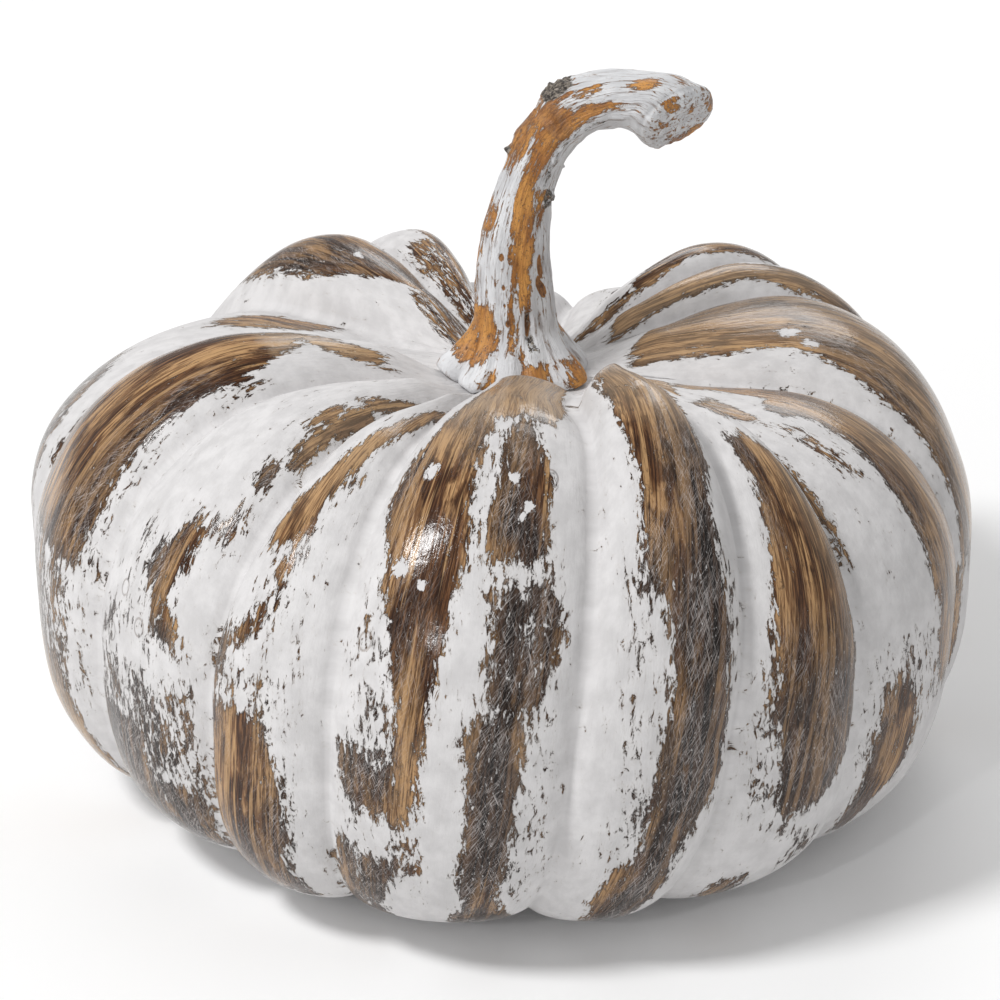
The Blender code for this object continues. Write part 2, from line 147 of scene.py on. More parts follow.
# Where the white paint is missing. Each patch: (density, [(level, left azimuth, right azimuth), ...])
BARE = (
    # front lobe: the cap at its crown, the left band, the right band and the specks round them
    (1.0, ((0.35, -9, 2.5), (0.6, -12, 3.6), (0.74, -12.5, 4.8), (0.86, -13.5, 5.2), (0.97, -16, 3.6),
           (1.05, -16.5, 1))),
    (1.0, ((1.0, -16.5, -7), (1.12, -18, -8.5), (1.22, -19.5, -8.6), (1.32, -20.2, -8.8), (1.42, -19.4, -9),
           (1.52, -18, -8.6), (1.64, -16.8, -9.4), (1.74, -15, -9.6), (1.86, -14, -10), (1.97, -13.8, -10.4),
           (2.1, -13.6, -10.6))),
    (0.95, ((1.06, -4.8, -2.2), (1.15, -5.8, -0.6), (1.26, -6.1, 0.7), (1.4, -6.7, 1.2), (1.52, -6.8, 0.6))),
    (0.72, ((1.56, -5.4, 2.6), (1.68, -5.2, 3.4), (1.8, -5, 3), (1.9, -5.2, 1.2))),
    (0.92, ((1.86, -5.5, 0.6), (2.0, -5.8, 0.4), (2.15, -5.4, 0), (2.28, -5.6, 0.2), (2.38, -4.6, -0.3),
            (2.48, -5.6, 1.2), (2.58, -6, 3), (2.7, -5, 3))),
    (0.34, ((1.08, -9.4, -6), (1.5, -9.2, -6.4))),
    (0.3, ((1.5, -6, 3), (1.66, -6, 4), (1.9, -5, 4), (2.4, -5, 6))),
    (0.26, ((1.6, -20.5, -14), (1.75, -21, -14), (1.95, -21, -13), (2.3, -21, -9))),
    (0.8, ((1.84, -19.5, -16), (1.89, -19, -15.5))),
    (0.85, ((1.99, -20.5, -11), (2.05, -20.5, -11), (2.12, -18, -11))),
    (0.76, ((2.2, -21.5, -13), (2.34, -22, -13.5), (2.5, -22, -15), (2.7, -21.8, -14))),
    (0.5, ((2.12, -14, -9.5), (2.3, -15, -9.5))),
    # second lobe
    (1.0, ((0.45, 11, 19), (0.8, 9.6, 20), (1.0, 9.6, 22), (1.12, 9.8, 23.4), (1.22, 10.4, 23), (1.32, 11.2, 22.4),
           (1.42, 11.4, 21.2), (1.55, 11.6, 21), (1.64, 12.6, 21))),
    (0.95, ((1.6, 13, 21.4), (1.7, 14.8, 22.4), (1.82, 15.6, 23), (1.95, 15.4, 24), (2.06, 14.8, 24), (2.14, 15, 22.4),
            (2.22, 14.6, 20.8), (2.28, 12.2, 20.8), (2.42, 11.6, 20.4), (2.52, 12, 19.6), (2.66, 12.5, 18.5))),
    (0.3, ((1.5, 9.5, 15), (1.75, 9.5, 15), (2.2, 11, 16))),
    (0.3, ((1.55, 21, 25), (1.8, 22, 25.4), (2.15, 22, 25))),
    # third lobe
    (1.0, ((0.4, 27, 37), (0.6, 26, 37), (0.75, 25.8, 36), (0.86, 25.8, 32), (0.95, 25.8, 28))),
    (1.0, ((1.15, 30.2, 35), (1.23, 30, 38), (1.3, 30.5, 40.5), (1.42, 30.2, 42), (1.52, 29.2, 43),
           (1.62, 29, 43.4), (1.75, 29, 43.4), (1.87, 30, 43.6), (1.97, 29.8, 44), (2.04, 31, 44), (2.1, 31.6, 43),
           (2.16, 32.4, 41), (2.22, 33.5, 37.5))),
    (0.36, ((1.5, 28, 31), (1.8, 27, 31), (2.0, 26.6, 31.5), (2.2, 27.6, 32.5))),
    (0.9, ((2.46, 29.5, 33), (2.56, 29, 33.4), (2.7, 29.5, 33))),
    (0.42, ((2.2, 29, 31), (2.34, 36, 42), (2.5, 36, 42))),
    (1.0, ((0.93, 34.4, 39), (0.98, 34.2, 39.4), (1.06, 35, 39.4))),
    # fourth lobe: crown, thin streaks, right flank, low patch
    (1.0, ((0.3, 50, 66), (0.42, 47.5, 68), (0.52, 45.8, 68), (0.62, 45.8, 58), (0.7, 45.8, 53),
           (0.78, 45.8, 48))),
    (1.0, ((0.75, 56, 59), (0.8, 54.6, 59), (0.87, 53.2, 58), (0.93, 53, 56), (1.0, 53.6, 55.2))),
    (0.46, ((1.02, 53.5, 56.5), (1.25, 53.6, 58.6), (1.42, 54, 59))),
    (1.0, ((0.95, 45.5, 48.4), (1.1, 45.5, 48), (1.35, 45.5, 47.4), (1.62, 45.5, 46.6))),
    (1.0, ((0.6, 62, 75), (0.66, 62, 76), (0.74, 65, 76), (0.86, 66, 77), (0.95, 65, 77), (1.0, 59.4, 77),
           (1.07, 59.6, 77), (1.12, 61.6, 76), (1.27, 62, 75), (1.5, 60.8, 76), (1.7, 61, 77), (1.9, 62, 77),
           (2.03, 62.4, 76), (2.12, 64, 73))),
    (0.95, ((2.02, 49.6, 55), (2.1, 49.6, 57.4), (2.2, 49.4, 58), (2.3, 49, 57), (2.42, 48.4, 54), (2.6, 49, 52.5))),
    (0.3, ((1.95, 47, 62), (2.1, 47, 63), (2.25, 47, 60))),
    # fifth lobe
    (1.0, ((0.42, 82, 92), (0.5, 82.8, 102), (0.62, 83.2, 112), (0.75, 83.4, 114), (0.9, 84.6, 114),
           (1.0, 84.8, 113), (1.1, 83.6, 110), (1.2, 82, 107), (1.35, 81.4, 105), (1.5, 80.8, 103),
           (1.75, 80.4, 98), (2.0, 80, 92))),
    (0.85, ((2.0, 78.2, 81), (2.2, 78.2, 80.5), (2.4, 78.4, 80))),
    (0.9, ((2.05, 90, 98), (2.3, 92, 101), (2.6, 93, 99))),
    # sixth lobe
    (1.0, ((0.42, 117.5, 121), (0.5, 118, 129), (0.6, 119, 129), (0.75, 118.9, 128), (0.92, 119.2, 128.4),
           (1.03, 119.4, 127.6), (1.12, 118.4, 125), (1.2, 117.4, 124), (1.35, 117, 123), (1.5, 117.6, 123))),
    (0.95, ((1.42, 119, 121.5), (1.6, 118.6, 124), (1.85, 118.6, 126.6), (2.1, 119.4, 127), (2.35, 120.2, 125.4),
            (2.75, 121.4, 123))),
    (0.3, ((1.5, 127, 134), (2.2, 127, 134))),
    (0.34, ((1.7, 104, 112), (2.3, 103, 112))),
    # seventh lobe
    (0.9, ((0.3, 136, 138.5), (0.5, 136, 138), (0.66, 136.4, 139))),
    (1.0, ((0.66, 136.6, 140), (0.8, 137, 142.5), (1.0, 138, 144), (1.2, 137.4, 144), (1.5, 137, 142),
           (1.9, 137, 140))),
    (0.95, ((1.75, 137, 140.6), (1.95, 137.4, 143.4), (2.2, 138, 144), (2.45, 139, 143), (2.8, 140.4, 141.6))),
    # the two low lobes at the back
    (1.0, ((0.62, 156, 158), (0.8, 155, 160.4), (1.0, 154, 162), (1.25, 153.6, 161.4), (1.45, 155, 160.6),
           (1.6, 156.4, 163), (1.8, 156, 165.6), (2.05, 156.8, 166.4), (2.3, 157.6, 164.6), (2.55, 159, 163),
           (2.85, 160.4, 161.6))),
    (0.34, ((1.5, 166, 172), (1.9, 166, 173), (2.4, 165, 171))),
    (0.42, ((1.2, 163, 167), (1.5, 163, 168), (1.9, 164, 168))),
    (1.0, ((0.6, 176.6, 178), (0.85, 175.6, 181), (1.1, 174.6, 183.6), (1.35, 175.4, 184.6), (1.6, 177.2, 183.4),
           (1.8, 178, 186), (2.05, 177, 187.4), (2.3, 178.4, 185.6), (2.5, 180, 184.4), (2.8, 181.6, 182.6))),
    # tenth lobe: speckled towards the front, brown at the back
    (0.62, ((0.35, 202, 208), (0.6, 198, 208), (0.85, 197, 208), (1.05, 198, 207))),
    (1.0, ((0.5, 193, 197), (0.8, 192, 199), (1.1, 193, 200), (1.45, 194, 200), (1.8, 194, 202),
           (2.1, 195, 202), (2.35, 196, 200))),
    # eleventh lobe: the dark arc over its shoulder, white spots below it
    (1.0, ((0.55, 211, 220), (0.75, 210.5, 226), (0.92, 211, 229), (1.08, 213, 230), (1.2, 217, 230),
           (1.4, 220, 229), (1.7, 221, 228), (2.0, 221, 229), (2.3, 222, 228))),
    (0.6, ((0.25, 210, 229), (0.4, 210, 228), (0.58, 210, 224))),
    (0.4, ((1.5, 211, 216), (1.9, 211, 217), (2.3, 212, 217))),
    # twelfth lobe: its flank next to the thirteenth, a speckled outer edge and the back
    (0.7, ((0.5, 250, 264), (0.56, 250, 260))),
    (1.0, ((1.0, 263, 269), (1.2, 265, 269.6), (1.5, 267, 269.8), (1.75, 268.4, 269.8))),
    (0.9, ((0.8, 234, 240), (0.95, 236, 244), (1.08, 237, 246), (1.2, 240, 246))),
    (0.74, ((1.44, 247, 257), (1.55, 250, 261), (1.66, 255, 264), (1.78, 259, 265.4), (1.9, 260, 266),
            (2.3, 256, 266))),
    (0.9, ((1.6, 236, 241), (1.9, 236, 243), (2.3, 238, 244), (2.6, 240, 243))),
    # thirteenth lobe
    (0.95, ((0.52, 290, 294.6), (0.6, 287.6, 293.4), (0.7, 284.6, 292), (0.76, 283.6, 290), (0.84, 282, 286),
            (0.96, 281, 286))),
    (1.0, ((0.83, 286, 289.4), (0.92, 285, 291), (1.0, 279, 293.6), (1.1, 277, 295), (1.25, 274, 294.8),
           (1.5, 272, 294.8), (1.66, 272, 295.2), (1.78, 272.6, 294.6), (1.86, 274, 294))),
    (0.5, ((1.84, 274, 294), (2.0, 278, 294), (2.14, 281, 294))),
    (0.95, ((2.06, 279, 291), (2.2, 281, 293), (2.45, 286, 296), (2.7, 292, 297.5))),
    (0.26, ((1.0, 293, 297.6), (1.5, 293.6, 297.6), (2.2, 292, 297.6))),
    # fourteenth lobe
    (1.0, ((0.58, 318.8, 320.6), (0.7, 317, 320), (0.78, 315.8, 320), (0.84, 315.2, 318.6))),
    (1.0, ((0.82, 317.6, 320.8), (0.95, 317, 320.4), (1.05, 317.4, 319.9), (1.15, 317.4, 319.9), (1.26, 317.6, 320))),
    (0.9, ((0.93, 314.4, 316.4), (1.0, 314.8, 317.4), (1.1, 315, 317.6))),
    (1.0, ((1.26, 316.9, 318.6), (1.36, 316.3, 318))),
    (0.62, ((1.44, 317, 319.6), (1.5, 315.8, 319.2), (1.57, 315.4, 319))),
    (0.80, ((1.52, 311.6, 315), (1.58, 310.4, 315), (1.64, 308.8, 314.8), (1.72, 308, 314), (1.77, 310, 314),
            (1.82, 311, 315.6), (1.9, 311.4, 315.8))),
    (0.28, ((1.58, 303, 311), (1.75, 302, 311), (1.85, 303, 318), (2.0, 298.5, 318))),
    (0.5, ((1.84, 301, 306), (1.92, 300, 304), (2.0, 298.4, 303))),
    (0.5, ((1.98, 299, 320), (2.12, 300, 320.4), (2.25, 306, 320.6))),
    (0.85, ((2.22, 309, 320.4), (2.4, 311, 320.6), (2.6, 314, 320.6))),
    (1.0, ((2.1, 298.4, 309), (2.2, 299, 311), (2.35, 301, 312), (2.6, 306, 314))),
    # fifteenth lobe
    (1.0, ((0.62, 336.6, 338), (0.74, 334.6, 337.8), (0.85, 333, 337), (1.0, 331, 335.3), (1.1, 329.4, 334),
           (1.2, 327.8, 332.4), (1.26, 327, 331.6), (1.35, 325, 330.8), (1.44, 323.8, 330.6), (1.5, 324.4, 329.6))),
    (0.3, ((1.08, 331, 335), (1.4, 330, 334))),
    (0.64, ((1.5, 328.6, 331.6), (1.55, 327, 331), (1.61, 326, 329.6))),
    (0.72, ((1.61, 328, 331), (1.7, 326, 330), (1.76, 324, 328), (1.81, 323.4, 326))),
    (0.66, ((1.74, 321.4, 324.6), (1.83, 321.2, 325), (1.92, 321.2, 324.2))),
    (0.42, ((1.8, 321.4, 330), (1.98, 321.4, 330.5))),
    (0.2, ((1.55, 330, 336), (1.8, 330, 336), (2.3, 330, 336.5))),
    (1.0, ((1.97, 321.4, 330.6), (2.1, 321.4, 333.2), (2.25, 321.6, 333.6), (2.4, 322.4, 333),
           (2.6, 325, 335))),
)

# Where the brown under the paint turns near black: (strength, [(level, left, right), ...])
DARK = (
    (1.0, ((1.06, -5.5, -1), (1.3, -6.5, -3.5), (1.45, -7, 1), (1.54, -6, 2))),
    (1.0, ((1.5, -6, 4), (2.0, -6, 3), (2.7, -7, 4))),
    (0.9, ((1.55, -22, -18), (1.85, -22, -16), (1.98, -22, -13.6), (2.15, -22, -12), (2.6, -22, -12))),
    (0.75, ((1.06, -13.5, -8), (1.2, -11, -8))),
    (0.8, ((1.2, -21, -17.5), (1.45, -21, -18))),
    (0.5, ((1.6, -16, -13), (1.75, -16, -12), (1.95, -15, -12))),
    (1.0, ((1.22, 16.5, 22), (1.4, 16, 22.5), (1.55, 16.4, 23), (1.65, 15, 24), (2.15, 15, 24), (2.7, 11, 22))),
    (1.0, ((1.5, 9, 15), (2.2, 9, 15))),
    (0.85, ((1.12, 29.5, 35), (1.28, 29.5, 33), (1.5, 29, 31))),
    (0.75, ((1.8, 29, 44), (2.0, 29, 45), (2.3, 28, 44), (2.7, 28, 44))),
    (0.8, ((0.98, 59, 63), (1.1, 60, 63), (1.5, 60, 64), (1.9, 61, 65))),
    (0.9, ((1.9, 47, 52), (2.3, 47, 52), (2.6, 47, 52))),
    (0.6, ((0.95, 98, 114), (1.1, 84, 92), (1.5, 80, 86), (2.0, 80, 84))),
    (0.5, ((0.8, 141, 145), (1.5, 139, 145), (2.2, 138, 144))),
    (0.9, ((0.55, 210, 217), (0.8, 216, 226), (1.05, 222, 231), (1.5, 224, 230))),
    (0.9, ((1.35, 246, 263), (1.9, 247, 266), (2.6, 250, 266))),
    (0.6, ((1.1, 262, 270), (1.3, 264, 270), (1.6, 266, 270))),
    (0.7, ((1.2, 291, 296), (1.6, 290, 296), (1.78, 284, 296), (1.95, 272, 296), (2.2, 290, 298))),
    (1.0, ((1.55, 300, 311.5), (1.8, 300, 311.5), (1.95, 297, 321), (2.1, 297, 321), (2.8, 308, 321))),
    (0.8, ((1.22, 315, 320), (1.4, 315, 320))),
    (0.6, ((2.24, 321, 334), (2.45, 321, 336), (2.7, 321, 336))),
    (0.9, ((1.68, 320, 325), (1.9, 320, 325), (2.0, 320, 324))),
    (0.8, ((1.62, 330, 337), (2.4, 330, 337))),
    (0.9, ((1.6, 156, 190), (2.6, 156, 190))),
)

# Painted sheen: where the brown is painted pale and hazy, standing in for the satin reflection at grazing angles:
# (strength, [(level, left, right), ...])
PAINTED_SHEEN = (
    (1.0, ((0.3, -18, 8), (0.9, -18, 8), (1.05, -16, 6), (1.12, -14, 4))),
    (0.8, ((0.3, 7, 24), (0.95, 8, 24), (1.12, 13, 24), (1.22, 18, 24))),
    (0.9, ((0.3, 24, 76), (0.5, 24, 76), (0.9, 24, 60))),
    (0.6, ((1.1, 63, 78), (1.5, 66, 78), (2.0, 68, 78))),
    (0.8, ((1.18, 36, 45), (1.5, 39, 46), (1.8, 42, 46))),
    (0.55, ((0.4, 78, 116), (0.8, 84, 116), (1.3, 84, 116), (2.0, 80, 116))),
    (0.7, ((0.4, 116, 135), (1.5, 116, 135))),
    (0.5, ((0.5, 314, 338), (1.3, 314, 338))),
    (0.8, ((0.5, 240, 296), (0.95, 240, 292), (1.04, 244, 268))),
    (1.0, ((2.04, 276, 294), (2.6, 284, 298))),
    (1.0, ((2.1, 296, 309), (2.3, 297, 311), (2.7, 304, 316))),
)

# Blobs of white paint on the brown, and rings left by burst bubbles: (level, azimuth, radius)
SPOTS = (
    (1.26, -15.2, 0.0023), (1.54, -15.8, 0.0022), (1.285, -4.0, 0.0017), (1.37, -1.9, 0.0015), (1.40, -2.7, 0.0010),
    (1.58, -13.0, 0.0012), (1.00, 89.0, 0.0030), (1.07, 86.4, 0.0024), (1.15, 254.0, 0.0020), (0.95, 214.0, 0.0026),
    (0.88, 222.0, 0.0020), (0.62, 69.0, 0.0026), (0.78, 73.0, 0.0020), (1.22, 261.0, 0.0016), (0.84, 288.0, 0.0012),
)
RINGS = (
    (1.80, 305.0, 0.0020), (1.95, 303.0, 0.0026), (2.05, 307.0, 0.0017), (1.88, 309.5, 0.0022),
    (2.12, 302.0, 0.0019), (1.28, 0.5, 0.0026), (1.72, -18.6, 0.0021), (2.20, 323.0, 0.0020),
)

# The stem's centre line: x from the crown's axis, height above the body's base, radius
STEM_LINE = (
    (-0.0010, 0.1290, 0.0116), (-0.0011, 0.1350, 0.0110), (-0.0013, 0.1420, 0.0104),
    (-0.0009, 0.1510, 0.0096), (0.0001, 0.1585, 0.0088), (0.0014, 0.1650, 0.0081),
    (0.0032, 0.1710, 0.0077), (0.0055, 0.1775, 0.0077), (0.0085, 0.1825, 0.0076),
    (0.0135, 0.1880, 0.0078), (0.0190, 0.1910, 0.0078), (0.0255, 0.1923, 0.0078),
    (0.0315, 0.1921, 0.0082), (0.0375, 0.1905, 0.0094), (0.0430, 0.1875, 0.0106),
)
STEM_START = 0.0085             # length along the stem at the first of those places
STEM_COLUMNS = 144
STEM_ROWS = 230
TAPERED_ROWS = 5
TAPER = 0.05                    # share of the radius by which the last rows draw in
FLUTE_DEPTH = 0.055             # the toes carry on up the shaft as flutes, which fade out
FLUTE_MEAN = 0.6
FLUTE_FROM = 0.010
FLUTE_FADE = 0.050
FOOT_GAP = 0.0005               # heights above the body's skin, at the toes and under the foot
UNDER_GAP = 0.0004
UNDER_RINGS = (0.97, 0.85, 0.7)     # shares of the toes' reach
TENON_RADIUS = 0.010
TENON_LENGTH = 0.018
GROOVE_RADIUS = 0.0180
TOE_POWER = 2.4

# The slanting cut at the stem's end: its rings slant more and more over CUT_REACH
CUT_NORMAL = (0.60, -0.64, -0.50)
CUT_REACH = 0.034
CUT_HOLLOW = 0.0010
CUT_SWELL = 0.0040
FACE_RINGS = (0.993, 0.975, 0.945, 0.90, 0.83, 0.74, 0.64, 0.52, 0.38, 0.22, 0.10, 0.02)
# Worn places on the cut face: (azimuth, half width, share of the radius, half width, density)
FACE_MARKS = (
    (140, 60, 0.95, 0.62, 1.0), (330, 16, 0.88, 0.22, 0.75), (15, 16, 0.66, 0.22, 0.72),
    (285, 22, 0.5, 0.2, 0.6), (70, 26, 0.45, 0.2, 0.45), (235, 26, 0.9, 0.25, 0.7),
    (180, 360, 0.5, 1.2, 0.16),
)

# The stem's paint and grain are laid out on a cylinder of this radius
FLOW_RADIUS = 0.0095

# Roughness of the stem: (cell, seed, height). The grain's cells are drawn out along the stem.
GRAIN_SQUASH = 0.14
STEM_GRAIN = ((0.0021, 11, 0.00026), (0.0011, 12, 0.00013))
STEM_LUMPS = ((0.0065, 13, 0.00040), (0.0030, 14, 0.00020))
STEM_COARSE = ((0.0012, 15, 1.0), (0.0007, 16, 0.6))
FACE_ROUGH = ((0.0022, 18, 0.00035), (0.0010, 19, 0.0002))

# Fine wrinkles across the front of the bend: length along the stem, half length, height, pitch, azimuth
WRINKLE_AT = 0.0685
WRINKLE_HALF = 0.0030
WRINKLE_HEIGHT = 0.00050
WRINKLE_PITCH = 0.00026 * 2.6
WRINKLE_MIDDLE = -20

# The root toes of the stem's foot: azimuth of the groove before each toe, and the toe's reach
TOES = (
    (-96, 0.0225), (-54, 0.0228), (-22, 0.0212), (6, 0.0195), (36, 0.0226),
    (78, 0.0205), (118, 0.0215), (160, 0.0205), (205, 0.0210), (236, 0.0200),
)
# How far down the flare each ring of the foot lies: share of the reach, share of the height left
FLARE = (
    (0.0, 1.0), (0.04, 0.90), (0.09, 0.82), (0.16, 0.73), (0.25, 0.64), (0.35, 0.55), (0.46, 0.465),
    (0.57, 0.39), (0.68, 0.325), (0.78, 0.27), (0.86, 0.225), (0.92, 0.185), (0.965, 0.14),
    (0.99, 0.09), (1.0, 0.045),
)

# Small shapes on the stem: (length, azimuth, half length, half width in degrees, height, roughness)
BUMPS = (
    (0.0725, -92, 0.0042, 34, 0.0009, 0.0014),
    (0.0555, -84, 0.0009, 7, 0.0017, 0.0),
    (0.0560, 88, 0.0006, 5, 0.0008, 0.0),
    (0.0468, 56, 0.0026, 16, 0.0006, 0.0010),
    (0.0610, -70, 0.0070, 30, 0.0, 0.0005),
    (0.0600, 32, 0.0120, 12, 0.0, 0.0006),
    (0.0105, 18, 0.0036, 6, -0.0020, 0.0),
    (0.0060, 22, 0.0018, 8, -0.0010, 0.0004),
    (0.0288, -23, 0.0009, 4.5, -0.0005, 0.0),
    (0.0205, -17, 0.0008, 3.5, -0.0005, 0.0),
    (0.0102, -10, 0.0009, 5, -0.0006, 0.0),
    (0.0156, -15, 0.0005, 2, -0.0004, 0.0),
    (0.0270, -44, 0.0040, 2, -0.0004, 0.0),
    (0.0900, 10, 0.0008, 3, -0.0004, 0.0),
    (0.0262, 45, 0.0036, 6, -0.0007, 0.0),
    (0.0192, 44, 0.0028, 7, -0.0007, 0.0),
    (0.1010, 90, 0.0040, 26, 0.0010, 0.0),
)

# Where the stem's tan coat shows: (density, [(length in mm, left azimuth, right azimuth), ...])
TAN = (
    (1.0, ((14, 8, 24), (20, 7, 26), (26, 0, 26), (33, 0, 30), (40, -2, 29), (44, -5, 18), (50, -6, 18))),
    (1.0, ((2, -14, 0), (8, -9, 1), (15, -10, -2), (20, -10, 3), (26, -10, 12), (33, -11, 14), (38, -16, 14),
           (44, -20, 12), (50, -21, 12), (56, -21, 20), (60, -27, 20), (64, -40, 21), (68, -60, 21),
           (71, -40, 18), (74, -16, 17), (79, -16, 13), (82, -14, 6), (85, -3, 3))),
    (0.8, ((45.5, 10, 50), (48, 10, 60), (49.6, 10, 55))),
    (0.62, ((38, 12, 45), (42, 12, 55), (46, 14, 55))),
    (0.74, ((50, -80, -46), (56, -95, -36), (62, -100, -28), (68, -105, -30), (72, -105, -38), (76, -86, -38))),
    (0.68, ((8, -100, -74), (20, -98, -70), (32, -98, -66), (44, -92, -72))),
    (0.9, ((33.5, -78, -58), (36, -76, -46), (38.5, -74, -46), (42, -72, -60))),
    (1.0, ((-1.5, -60, -48), (0.5, -76, -30), (3, -84, -20), (6, -86, -20), (9, -84, -26), (11, -84, -34),
            (13.6, -70, -45))),
    (0.9, ((-8, -24, -18), (-2, -25, -17))),
    (0.8, ((-6, -100, -82), (2, -100, -86))),
    (1.0, ((-9, 6, 34), (-3, 5, 34), (-1, 12, 38))),
    (0.8, ((0.5, -12, 10), (2.5, -12, 12))),
    (1.0, ((-9, 50, 76), (-4, 46, 78), (-1, 50, 72))),
    (0.8, ((2, 86, 104), (10, 88, 100))),
    (1.0, ((87.6, -42, -28), (89.5, -56, -30), (91.5, -62, -38), (93.8, -66, -52))),
    (0.9, ((76, -52, -38), (79, -49, -40), (81.5, -47, -42))),
    (0.9, ((84.5, -3, 8), (87, -2, 6))),
    (0.85, ((97.5, -90, -58), (99.5, -88, -62))),
    (0.95, ((101, -50, -40), (104, -52, -38))),
    (1.0, ((99, -12, 0), (100.4, -11, -2))),
    (0.7, ((50, 120, 200), (70, 130, 210), (90, 130, 200))),
    (0.75, ((-5, 120, 150), (10, 125, 150), (40, 125, 142))),
    (0.8, ((-5, 185, 215), (12, 190, 212), (48, 192, 206))),
)
# Where the stem is dark: bark, knot, crack and pits
SOOT = (
    (1.0, ((69.5, -112, -60), (73, -118, -52), (76, -112, -62))),
    (1.0, ((54.6, -92, -72), (56.4, -92, -74))),
    (0.75, ((43.5, 44, 74), (47, 36, 76), (50, 42, 70))),
    (0.62, ((6.6, 13, 24), (10, 12, 25), (13.4, 14, 23))),
    (0.7, ((2.2, 14, 32), (6.6, 12, 28))),
    (0.5, ((50, 22, 44), (60, 22, 42), (75, 20, 40), (84, 24, 36))),
)
# Brown pools that fill small hollows
POOLS = (
    (1.0, ((22.4, 45, 48), (24, 41, 51), (26, 40, 50), (28.5, 40, 47), (30, 43, 44))),
    (1.0, ((16.2, 46, 50), (17.5, 42, 54), (19, 39, 53), (20.5, 36, 50), (22, 36, 45), (23.4, 39, 42))),
    (1.0, ((27.6, -24, -22), (28.3, -27, -19), (29.2, -27, -19), (29.9, -24, -22))),
    (1.0, ((19.8, -18, -16), (20.4, -20, -13), (21.2, -18, -15))),
    (1.0, ((9.2, -11, -9), (9.9, -14, -6), (10.8, -13, -7), (11.3, -11, -9))),
    (1.0, ((15.0, -16, -14), (15.5, -17, -13), (16, -16, -14))),
    (1.0, ((6.6, 15, 20), (9.5, 13, 23), (12, 14, 22), (13.8, 17, 20))),
    (0.62, ((65.5, -62, 20), (68, -62, 24), (71, -60, 20))),
    (0.5, ((54, -95, -40), (66, -98, -40))),
)

PATCH_EDGE = 2.6                # degrees over which a patch of paint thins out
PATCH_END = 0.10                # levels over which it ends
# The same on the stem, in degrees and mm
TAN_EDGES = (15.0, 3.0)
SOOT_EDGES = (8.0, 1.2)
POOL_EDGES = (3.0, 0.8)


def mix(a, b, k):
    return a + (b - a) * k


def smoothstep(k):
    k = np.clip(k, 0.0, 1.0)
    return k * k * (3.0 - 2.0 * k)


def around(azimuth, table):
    """A table of (azimuth, value) read at each azimuth in degrees."""
    turns, values = zip(*table)
    return np.interp((azimuth - TABLE_START) % 360 + TABLE_START, turns, values)


def new_object(name, mesh, material):
    obj = bpy.data.objects.new(name, mesh)
    bpy.context.scene.collection.objects.link(obj)
    mesh.materials.append(material)
    mesh.shade_smooth()
    return obj


def grid_mesh(name, points, capped=False):
    """A closed mesh of quads over points[row, column, xyz], closed round the columns.

    Rows that run downward wrap from the last to the first. Capped rows run upward and end in a flat face each.
    """
    index = np.arange(points[..., 0].size).reshape(points.shape[:2])
    here, after = (index[:-1], index[1:]) if capped else (index, np.roll(index, -1, axis=0))
    faces = np.stack((here, after, np.roll(after, -1, axis=1), np.roll(here, -1, axis=1)), axis=-1).reshape(-1, 4)
    if capped:
        faces = faces[:, ::-1].tolist() + [index[0, ::-1].tolist(), index[-1].tolist()]
    else:
        faces = faces.tolist()
    mesh = bpy.data.meshes.new(name)
    mesh.from_pydata(points.reshape(-1, 3).tolist(), [], faces)
    return mesh


def add_attribute(mesh, name, values):
    """A number or a vector on each point of the mesh."""
    kind, field = ("FLOAT_VECTOR", "vector") if values.ndim == 3 else ("FLOAT", "value")
    layer = mesh.attributes.new(name, kind, "POINT")
    layer.data.foreach_set(field, np.ascontiguousarray(values, dtype=np.float32).ravel())


# ---------------------------------------------------------------- noise for small shapes

def lattice_noise(points, cell, seed):
    """Smooth noise from -1 to 1 at points[..., xyz], with features about one cell wide."""
    grid = np.floor(points / cell)
    part = points / cell - grid
    part = part * part * (3 - 2 * part)
    total = np.zeros(points.shape[:-1])
    for corner in range(8):
        bits = np.array([(corner >> axis) & 1 for axis in range(3)])
        cells = (grid + bits).astype(np.int64)
        mixed = cells[..., 0] * 73856093 ^ cells[..., 1] * 19349663 ^ cells[..., 2] * 83492791
        mixed = (mixed ^ (seed * 2654435761)) & 0x7FFFFFFF
        mixed = (mixed ^ (mixed >> 13)) * 1274126177 & 0x7FFFFFFF
        value = ((mixed ^ (mixed >> 16)) & 0xFFFF) / 32767.5 - 1
        weight = np.prod(np.where(bits == 1, part, 1 - part), axis=-1)
        total += value * weight
    return total


def layered_noise(points, layers):
    """The sum of some layers of noise: (cell, seed, height)."""
    return sum(lattice_noise(points, cell, seed) * height for cell, seed, height in layers)


# ---------------------------------------------------------------- body

def body_columns():
    """Lobe, place across it, azimuth and twist of each mesh column."""
    found = []
    edge = FIRST_EDGE
    for index, (width, _, _, twist) in enumerate(LOBES):
        next_twist = LOBES[(index + 1) % len(LOBES)][3]
        count = 2 * round(width * COLUMNS_PER_DEGREE / 2)
        for step in range(count):
            even = 2 * step / count - 1
            side = mix(even, math.sin(math.pi / 2 * even), COLUMN_CROWDING)
            across = (side + 1) / 2
            found.append((index, side, edge + width * across, mix(twist, next_twist, across)))
        edge += width
    return np.array(found)


